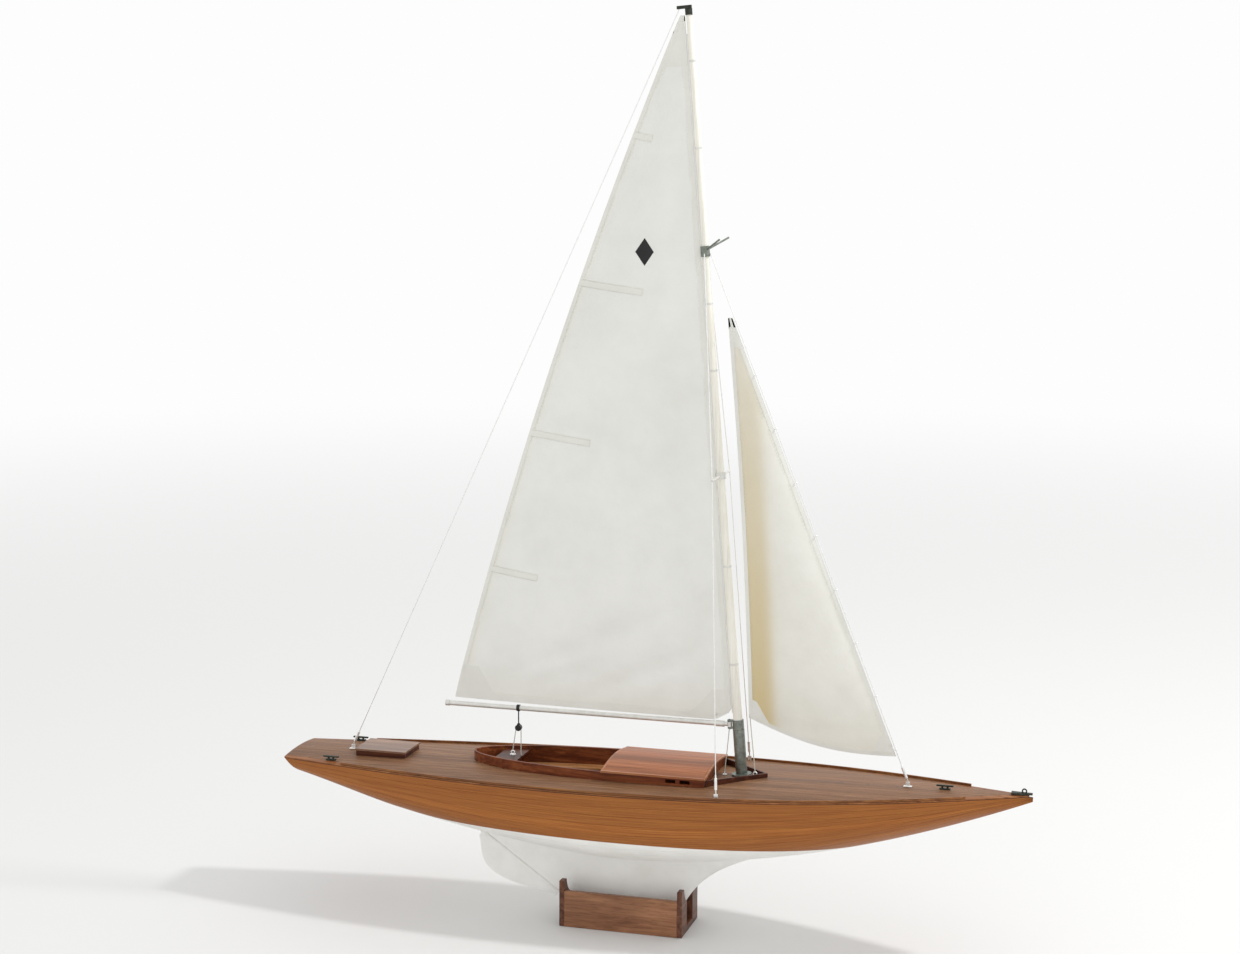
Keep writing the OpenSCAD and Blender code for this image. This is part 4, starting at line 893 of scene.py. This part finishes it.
# %% [markdown]
# ## Sewing the sails
# A sail is cut flat and pulled into a shallow curve by its spars. Here each sail is one closed sheet of
# cloth, bowed a few millimetres, with creases where the battens press and where the corners pull. Its
# hems, corner patches and batten pockets are separate layers that follow the same surface, with rows of
# stitches beside them. A shaped sheet is used instead of a simulation: a sheeted-in sail is under
# tension, so it has no folds to find.

# %% The outline of the mainsail
MAST_X, MAST_Z, MAST_RAKE = 92.5, 158.068, math.radians(4.7)
MAST_HEIGHT = 728
LUFF_RAKE = math.radians(4.54259)
LUFF_X, LUFF_Z = 83.929, 157.363  # where the boom's hinge line meets the deck
SLIDE_GAP = 2.7
TACK_X, TACK_TOP = 65.8, 220.8  # the foot's fore corner, cut back to clear the gooseneck
MAIN_FOOT, MAIN_HEAD = 211.8, Vector((29.4, 0, 877.3))
MAIN_CLEW = Vector((-200, 0, 214.8))
ROACH = 14.0


def mast_point(height, fore=0.0):
    """A place on the raked mast, fore of its middle."""
    return Vector((MAST_X - height * math.sin(MAST_RAKE) + fore * math.cos(MAST_RAKE), 0.0,
                   MAST_Z + height * math.cos(MAST_RAKE) + fore * math.sin(MAST_RAKE)))


def mast_face(z):
    """Where the mainsail's fore edge is at height z."""
    return LUFF_X - (z - LUFF_Z) * math.tan(LUFF_RAKE) + SLIDE_GAP


def main_edge(w):
    """The luff and the leech, both from foot (0) to head (1)."""
    z = MAIN_FOOT + (MAIN_HEAD.z - MAIN_FOOT) * w
    luff = mast_face(z)
    if z < TACK_TOP:
        luff = TACK_X + (mast_face(TACK_TOP) - TACK_X) * (z - MAIN_FOOT) / 9
    top = Vector((MAIN_HEAD.x - 4, 0, MAIN_HEAD.z))
    leech = top.lerp(MAIN_CLEW, 1 - w) - Vector((ROACH * max(0, math.sin(math.pi * (1 - w))) ** 0.8, 0, 0))
    return Vector((luff, 0, z)), leech


def pull(x, z, ax, az, bx, bz, width, depth):
    """A crease from a to b: the cloth dips by depth within width of the line, fading at both ends."""
    dx, dz = bx - ax, bz - az
    length = math.hypot(dx, dz)
    t = ((x - ax) * dx + (z - az) * dz) / length ** 2
    off = ((x - ax) * dz - (z - az) * dx) / length
    if not 0 < t < 1:
        return 0.0
    return depth * math.sin(math.pi * t) * math.exp(-((off / width) ** 2))


BATTENS = [(0.835, 20), (0.625, 65), (0.405, 64), (0.2, 52)]  # share of the height, length in mm


def main_bow(x, z, w, v):
    """How far the mainsail's cloth stands to the side at a point."""
    bow = -6.5 * (4 * v * (1 - v)) ** 0.9 * math.sin(math.pi * min(1, 0.12 + w * 0.9))
    bow += pull(x, z, -195, 222, 60, 330, 7, 1.3) + pull(x, z, -190, 216, -20, 262, 5, 0.9)
    bow += pull(x, z, -75, 222, 72, 288, 8, 2.0) + pull(x, z, 62, 216, 20, 420, 6, 0.7)
    bow += pull(x, z, 28, 870, -30, 640, 5, 0.6)
    for share, length in BATTENS:
        leech = main_edge(share)[1]
        inner = leech.x + length
        bow += 0.9 * math.exp(-(((x - inner) / 7) ** 2) - ((z - leech.z) / 42) ** 2)
        bow += pull(x, z, inner, leech.z - 9, inner + 50, leech.z - 19, 4, 0.8)
    return bow


# %% The outline of the jib
STAY_LOW, STAY_TOP = Vector((253, 0, 165.468)), Vector((56.072, 0, 658.767))
JIB_CLEW = Vector((99, 0, 216))
BEHIND_STAY = Vector((-0.9287, 0, -0.3708)) * 2.1


def jib_edge(w):
    """The luff and the leech, both from foot (0) to head (1)."""
    luff = STAY_LOW.lerp(STAY_TOP, 0.05 + 0.83 * w) + BEHIND_STAY
    head = STAY_LOW.lerp(STAY_TOP, 0.88) + BEHIND_STAY - Vector((4, 0, 0))
    leech = JIB_CLEW.lerp(head, w) + Vector((3.0 * math.sin(math.pi * w), 0, 0))
    return luff, leech


def jib_bow(x, z, w, v):
    """How far the jib's cloth stands to the side at a point."""
    bow = -6.0 * (4 * v * (1 - v)) ** 0.9 * math.sin(math.pi * min(1, 0.15 + w * 0.87))
    bow += pull(x, z, 101, 219, 205, 330, 8, 1.0) + pull(x, z, 102, 217, 236, 214, 6, 0.8)
    return bow + pull(x, z, 240, 196, 150, 400, 6, 0.6)


# %% Cloth and the layers sewn on it
def cloth_point(edge, bow, sag, w, v, lift):
    """A point on the sail: w from foot to head, v from luff to leech, lift off the cloth's middle."""
    luff, leech = edge(w)
    p = luff.lerp(leech, v)
    drop = sag * math.sin(math.pi * v) * (1 - w) ** 9
    return (p.x, bow(p.x, p.z, w, v) + lift, p.z - drop)


CLOTH_HALF = 0.3


def cloth_layer(sail, w0, w1, v0, v1, rows, cols, slope=0.0, inner=-CLOTH_HALF, outer=CLOTH_HALF):
    """A closed layer of cloth over part of a sail. A bound may be a function of w; slope drops it forward."""
    edge, bow, sag = sail
    front, behind = [], []
    for i in range(rows + 1):
        for j in range(cols + 1):
            a, b = i / rows, j / cols
            w = w0 + (w1 - w0) * a
            left, right = (f(w) if callable(f) else f for f in (v0, v1))
            v = left + (right - left) * b
            height = w - slope * (1 - v)
            front.append(cloth_point(edge, bow, sag, height, v, inner))
            behind.append(cloth_point(edge, bow, sag, height, v, outer))
    n, across = len(front), cols + 1
    faces = []
    for i in range(rows):
        for j in range(cols):
            a = i * across + j
            faces += [(a, a + 1, a + across + 1, a + across), (n + a + across, n + a + across + 1,
                                                               n + a + 1, n + a)]
    rim = list(range(across)) + [i * across + cols for i in range(1, rows + 1)]
    rim += [rows * across + j for j in range(cols - 1, -1, -1)] + [i * across for i in range(rows - 1, 0,
                                                                                             -1)]
    faces += [(a, b, n + b, n + a) for a, b in zip(rim, rim[1:] + rim[:1])]
    return front + behind, faces


def both_sides(sail, *bounds, proud=0.28):
    """The same layer on each face of the sail."""
    face = CLOTH_HALF + 0.02
    return [cloth_layer(sail, *bounds, inner=s * face, outer=s * (face + proud)) for s in (1, -1)]


# %% Stitches
def stitch_row(sail, start, end, step=3.2):
    """Short raised stitches from one (w, v) to another, on both faces."""
    edge, bow, sag = sail
    (w0, v0), (w1, v1) = start, end
    a = Vector(cloth_point(edge, bow, sag, w0, v0, 0))
    b = Vector(cloth_point(edge, bow, sag, w1, v1, 0))
    count = max(2, int((b - a).length / step))
    parts = []
    for k in range(count):
        t0, t1 = k / count, (k + 0.55) / count
        for s in (1, -1):
            lift = s * (CLOTH_HALF + 0.34)
            ends = [cloth_point(edge, bow, sag, w0 + (w1 - w0) * t, v0 + (v1 - v0) * t, lift) for t in (t0,
                                                                                                        t1)]
            parts.append(tube(ends, 0.16, 5))
    return parts


# %% Sewing one sail
def sew(name, body, sail, finish, nodes, battens, insignia, flat, area):
    """One sail with its hems, patches, pockets and stitches."""
    edge = sail[0]
    height = edge(1)[0].z - edge(0)[0].z

    def width(w):
        return max(1.0, (edge(w)[1] - edge(w)[0]).length)

    cloth = piece(name, *cloth_layer(sail, 0, 1, 0, 1, 110, 64), finish, body, "sailcloth", nodes,
                  smooth=70)
    # The jib gets a wide, strong band along its leech: painted shade of its curl, on top of yellowing.
    cloth_age_and_shade(cloth, edge, *((5, 0.3) if insignia else (26, 1.0)))
    hems = both_sides(sail, 0.0, 1, 0, lambda w: min(0.3, 4 / width(w)), 90, 2)
    hems += both_sides(sail, 0.0, 1, lambda w: 1 - min(0.3, 4 / width(w)), 1, 90, 2)
    hems += both_sides(sail, 0.0, 0.009, 0, 1, 2, 60)
    patches = both_sides(sail, 0.0, 0.045, 0, lambda w: (0.16 - w * 2.2), 8, 8)
    patches += both_sides(sail, 0.0, 0.05, lambda w: 1 - (0.16 - w * 2.0), 1, 8, 8)
    patches += both_sides(sail, 0.93, 0.999, 0, 1, 10, 8)
    stitches = stitch_row(sail, (0.011, 0.02), (0.011, 0.98))
    for w0, w1 in zip(np.linspace(0.01, 0.9, 8), np.linspace(0.12, 1.0, 8)):
        stitches += stitch_row(sail, (w0, 5 / width(w0)), (w1, min(0.4, 5 / width(w1))))
        stitches += stitch_row(sail, (w0, 1 - 5 / width(w0)), (w1, 1 - min(0.4, 5 / width(w1))))
    pockets = []
    for share, length in battens:
        half = 2.6 / height
        inner = 1 - length / width(share)
        slope = width(share) * 14 / (length + 60) / height
        pockets += both_sides(sail, share - half, share + half, inner, 0.999, 3, 14, slope, proud=0.6)
        for w in (share - half * 1.25, share + half * 1.25):
            stitches += stitch_row(sail, (w - slope * (1 - inner), inner), (w - slope * 0.01, 0.99), 2.6)
    parts = [("hems", hems), ("corner_patches", patches), ("stitches", stitches)]
    if pockets:
        parts.append(("batten_pockets", pockets))
    layers = [piece(name + "_" + part, *join(*shapes), tape_cloth, body, "sailcloth", smooth=60)
              for part, shapes in parts]
    if insignia:
        layers.append(insignia_patch(name, body, sail))
    print(name, "flat size", flat, "area", round(area, 4))


def cloth_age_and_shade(cloth, edge, reach, strength):
    """Marks the leech and the foot, where a sail yellows first. On the jib the band along the leech is wider
    and stronger, and there it is painted shade of the curled leech as well.
    """
    low_z = edge(0)[0].z
    store = cloth.data.attributes.new("age_and_shade", "FLOAT", "POINT")
    levels = []
    for vertex in cloth.data.vertices:
        z = vertex.co.z / MM
        w = max(0, min(1, (z - low_z) / (edge(1)[0].z - low_z)))
        near = abs(vertex.co.x / MM - edge(w)[1].x)
        strip = 1 / (1 + math.exp((near - reach) / 3))
        levels.append(strength * strip * (1 - w) ** 0.6 + 0.2 * math.exp(-(z - low_z) / 16))
    store.data.foreach_set("value", np.array(levels, np.float32))


# %% The lozenge and the flat area
LOZENGE = Vector((-6.5, 0, 659))


def insignia_patch(name, body, sail):
    """A plain black lozenge, cut from film and stuck on both faces."""
    edge, bow, _ = sail
    parts = []
    for s in (1, -1):
        face = s * (CLOTH_HALF + 0.05)
        ring = [(LOZENGE.x + dx, LOZENGE.z + dz) for dx, dz in ((9, 0), (0, 13), (-9, 0), (0, -13))]
        rows = []
        for lift in (0.0, 0.15 * s):
            row = []
            for x, z in ring:
                w = (z - MAIN_FOOT) / (MAIN_HEAD.z - MAIN_FOOT)
                luff, leech = edge(w)
                row.append((x, bow(x, z, w, (luff.x - x) / (luff.x - leech.x)) + face + lift, z))
            rows.append(row)
        parts.append(loft(rows))
    return piece(name + "_lozenge", *join(*parts), black_ink, body, "sailcloth", smooth=20)


def flat_area(edge):
    """The sail's flat area in square millimetres, in strips from foot to head."""
    total = 0.0
    for k in range(200):
        (a, b), (c, d) = edge(k / 200), edge((k + 1) / 200)
        total += ((a - b).length + (c - d).length) / 2 * abs(c.z - a.z + d.z - b.z) / 2
    return total


# %% Mainsail and jib
JIB_FLAT = (0.146, 0.442)
main_sail = (main_edge, main_bow, 0.0)
jib_sail = (jib_edge, jib_bow, 9.0)
sew("mainsail_cloth", "boom", main_sail, main_cloth, ["mainsail", "battens"], BATTENS, True,
    ((mast_face(MAIN_FOOT) + 214) * MM, (MAIN_HEAD.z - MAIN_FOOT) * MM), flat_area(main_edge) * MM * MM)
sew("jib_cloth", "jib", jib_sail, jib_cloth, ["jib"], [], False, JIB_FLAT,
    flat_area(jib_edge) * MM * MM)

# %% [markdown]
# ## Small rig details
# A track runs up the mast's after face for the mainsail. Slim bands mark where the mast is served, and a
# short twisted downhaul runs from an eye on the deck to the gooseneck. They could be part of the mast,
# but separate pieces keep their own finish and their own crisp edges.

# %% Mast track, bands and the downhaul
TRACK_FOOT, TRACK_TOP = 62, 705.0
BANDS = (110, 205, 392, 455, 600, 680)  # heights above the mast's foot


def mast_radius(height):
    """The mast tapers from 4.6 mm to 2.6 mm."""
    return 4.6 - 2.0 * height / MAST_HEIGHT


track = [mast_point(h, -mast_radius(h) - 0.35) for h in np.linspace(TRACK_FOOT, TRACK_TOP, 60)]
rows = [[(p.x + fore, side, p.z) for fore, side in ((-0.4, -0.7), (0.5, -0.7), (0.5, 0.7), (-0.4, 0.7))]
        for p in track]
piece("mast_track", *loft(rows), alloy, "hull", "alloy", bevel=0.15)
bands = []
for h in BANDS:
    r = mast_radius(h)
    bands.append(tube([mast_point(h - 1), mast_point(h - 0.8), mast_point(h + 0.8), mast_point(h + 1)],
                      [r + 0.05, r + 0.3, r + 0.3, r + 0.05], 24))
piece("mast_bands", *join(*bands), alloy, "hull", "alloy")
print("mast bands:", len(BANDS))

# %% Downhaul
EYE_RISE = 1.9
DOWNHAUL_EYE = Vector((75.5, 0, deck_top(75.5, 0) + EYE_RISE))
GOOSENECK = Vector((79.6, 0, 203.3))
downhaul_route = between(DOWNHAUL_EYE, GOOSENECK, 24)
verts, faces = tube(downhaul_route, 0.4, 10)
downhaul = piece("gooseneck_downhaul", verts, faces, cord_finish, "hull", "sheet_cord", smooth=60)

ring_path = [DOWNHAUL_EYE + Vector((0, math.cos(a), math.sin(a))) * 1.3
             for a in np.linspace(0, 2 * math.pi, 25)]
base = DOWNHAUL_EYE - Vector((0, 0, EYE_RISE))
pad = tube([base, base + Vector((0, 0, 0.7))], 2.2, 24)
piece("downhaul_eye", *join(tube(ring_path, 0.4, 8), pad), wire, "hull", "wire", bevel=0.12)
print("gooseneck_downhaul is", round(cord_length(downhaul_route), 1), "mm long")

# %% [markdown]
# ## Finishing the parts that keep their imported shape
# Fittings, spars, bulkheads and radio gear are already the right shape, so building them again gains
# nothing. Each gets slightly eased edges, because no real edge is perfectly sharp, and the finish of its
# own material.

# %% A finish and eased edges for every other part
FINISH = {
    dark_mahogany: ("transom", "breakwater", "sheet_bridge", "aft_hatch_frame"),
    rail_wood: ("toe_rails",),
    red_mahogany: ("coaming", "mast_step"),
    bench_wood: ("cockpit_benches",),
    hatch_wood: ("aft_hatch_cover",),
    birch_plywood: ("bulkhead_fore", "bulkhead_mast", "bulkhead_mid", "bulkhead_aft", "servo_tray",
                    "cockpit_sole"),
    spruce_spar: ("mast", "battens"),
    stand_wood: ("stand_floor", "stand_sides"),
    # The end boards take the darker copy of the stand's wood, as painted shade.
    shaded_stand_end_wood: ("stand_end_fore", "stand_end_aft"),
    bronze: ("masthead_crane", "stem_fitting", "deck_cleats"),
    tin: ("mast_sleeve", "gooseneck_bracket", "jumper_struts"),
    alloy: ("boom", "boom_fitting", "spreaders"),
    wire: ("shrouds", "forestay", "backstay", "turnbuckles", "chainplates", "deck_eyes", "rudder_stock",
           "pushrod", "jib_hanks"),
    brass: ("rudder_tube",),
    black_plastic: ("steering_servo", "winch_servo", "receiver", "switch_body", "sheet_block"),
    white_plastic: ("steering_horn", "rudder_horn", "winch_drum"),
    green_wrap: ("battery_pack",),
    red_plastic: ("switch_knob",),
}
finished = 0
for finish, nodes in FINISH.items():
    for name in nodes:
        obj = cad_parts[name]
        obj.data.materials.clear()
        obj.data.materials.append(finish)
        if "custom_normal" in obj.data.attributes:
            obj.data.attributes.remove(obj.data.attributes["custom_normal"])
        obj.modifiers.new("join_seams", "WELD").merge_threshold = 1e-6
        small = min((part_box(name)[1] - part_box(name)[0])) / MM
        bevel = obj.modifiers.new("eased_edges", "BEVEL")
        bevel.width = min(0.6 if name.startswith("stand") else 0.2, small * 0.12) * MM
        bevel.segments, bevel.limit_method, bevel.angle_limit = 2, "ANGLE", math.radians(50)
        obj.data.shade_smooth()
        obj.modifiers.new("even_shading", "WEIGHTED_NORMAL").keep_sharp = True
        finished += 1
bare = [n for n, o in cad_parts.items() if not o.hide_render and o.data.materials[0] not in FINISH]
print("finished", finished, "parts; without a finish:", bare)

# %% [markdown]
# ## The studio
# The model stands on a plain pale floor that fades into an even white surround. A sun lamp would give the
# same direction, but a hard edge everywhere. One round lamp, 0.3 m across and about 3.3 m away towards
# the bow, gives the long shadow towards the stern with an edge that softens with distance. The surround
# fills the rest.

# %% Floor
FLOOR_R = 12.0
FADE_FROM, FADE_TO = 1.0, 4.6
SURROUND, PAPER = "#fdfdfd", "#dededd"
FLOOR_SIDES, FLOOR_DROP = 96, 0.0003

disc = bpy.data.meshes.new("studio_floor")
turns = [2 * math.pi * k / FLOOR_SIDES for k in range(FLOOR_SIDES)]
ring = [(FLOOR_R * math.cos(a), FLOOR_R * math.sin(a), -FLOOR_DROP) for a in turns]
disc.from_pydata(ring, [], [tuple(range(FLOOR_SIDES))])
floor = bpy.data.objects.new("studio_floor", disc)
scene.collection.objects.link(floor)
# Matt background paper: it takes a soft shadow near the boat and glows like the surround far away.
paper = blank("pale_studio_floor")
place = add(paper, "ShaderNodeTexCoord").outputs["Object"]
away = add(paper, "ShaderNodeVectorMath", {"operation": "LENGTH"}, i0=place).outputs["Value"]
fade = add(paper, "ShaderNodeMapRange", {"interpolation_type": "SMOOTHSTEP"}, Value=away,
           From_Min=FADE_FROM, From_Max=FADE_TO)
lit = add(paper, "ShaderNodeBsdfPrincipled", Base_Color=linear(PAPER), Roughness=0.9)
glow = add(paper, "ShaderNodeEmission", Color=linear(SURROUND), Strength=1.0)
mix = add(paper, "ShaderNodeMixShader", i0=fade.outputs[0], i1=lit.outputs[0], i2=glow.outputs[0])
close(paper, mix)
disc.materials.append(paper)

# %% Surround and lamp
world = bpy.data.worlds.new("white_surround")
scene.world = world
world.use_nodes = True
sky = world.node_tree.nodes["Background"].inputs
sky["Color"].default_value, sky["Strength"].default_value = linear(SURROUND), 1.0

KEY_PLACE = Vector((2.0, 0.12, 2.67))
KEY_SIZE, KEY_WATTS = 0.3, 42.0
lamp = bpy.data.lights.new("soft_key", "AREA")
lamp.shape, lamp.size, lamp.energy = "DISK", KEY_SIZE, KEY_WATTS
key = bpy.data.objects.new("soft_key", lamp)
key.location = KEY_PLACE
key.rotation_mode = "QUATERNION"
key.rotation_quaternion = (-KEY_PLACE).to_track_quat("-Z", "Y")
scene.collection.objects.link(key)
print("key light:", KEY_WATTS, "W,", round(KEY_PLACE.length, 2), "m away")
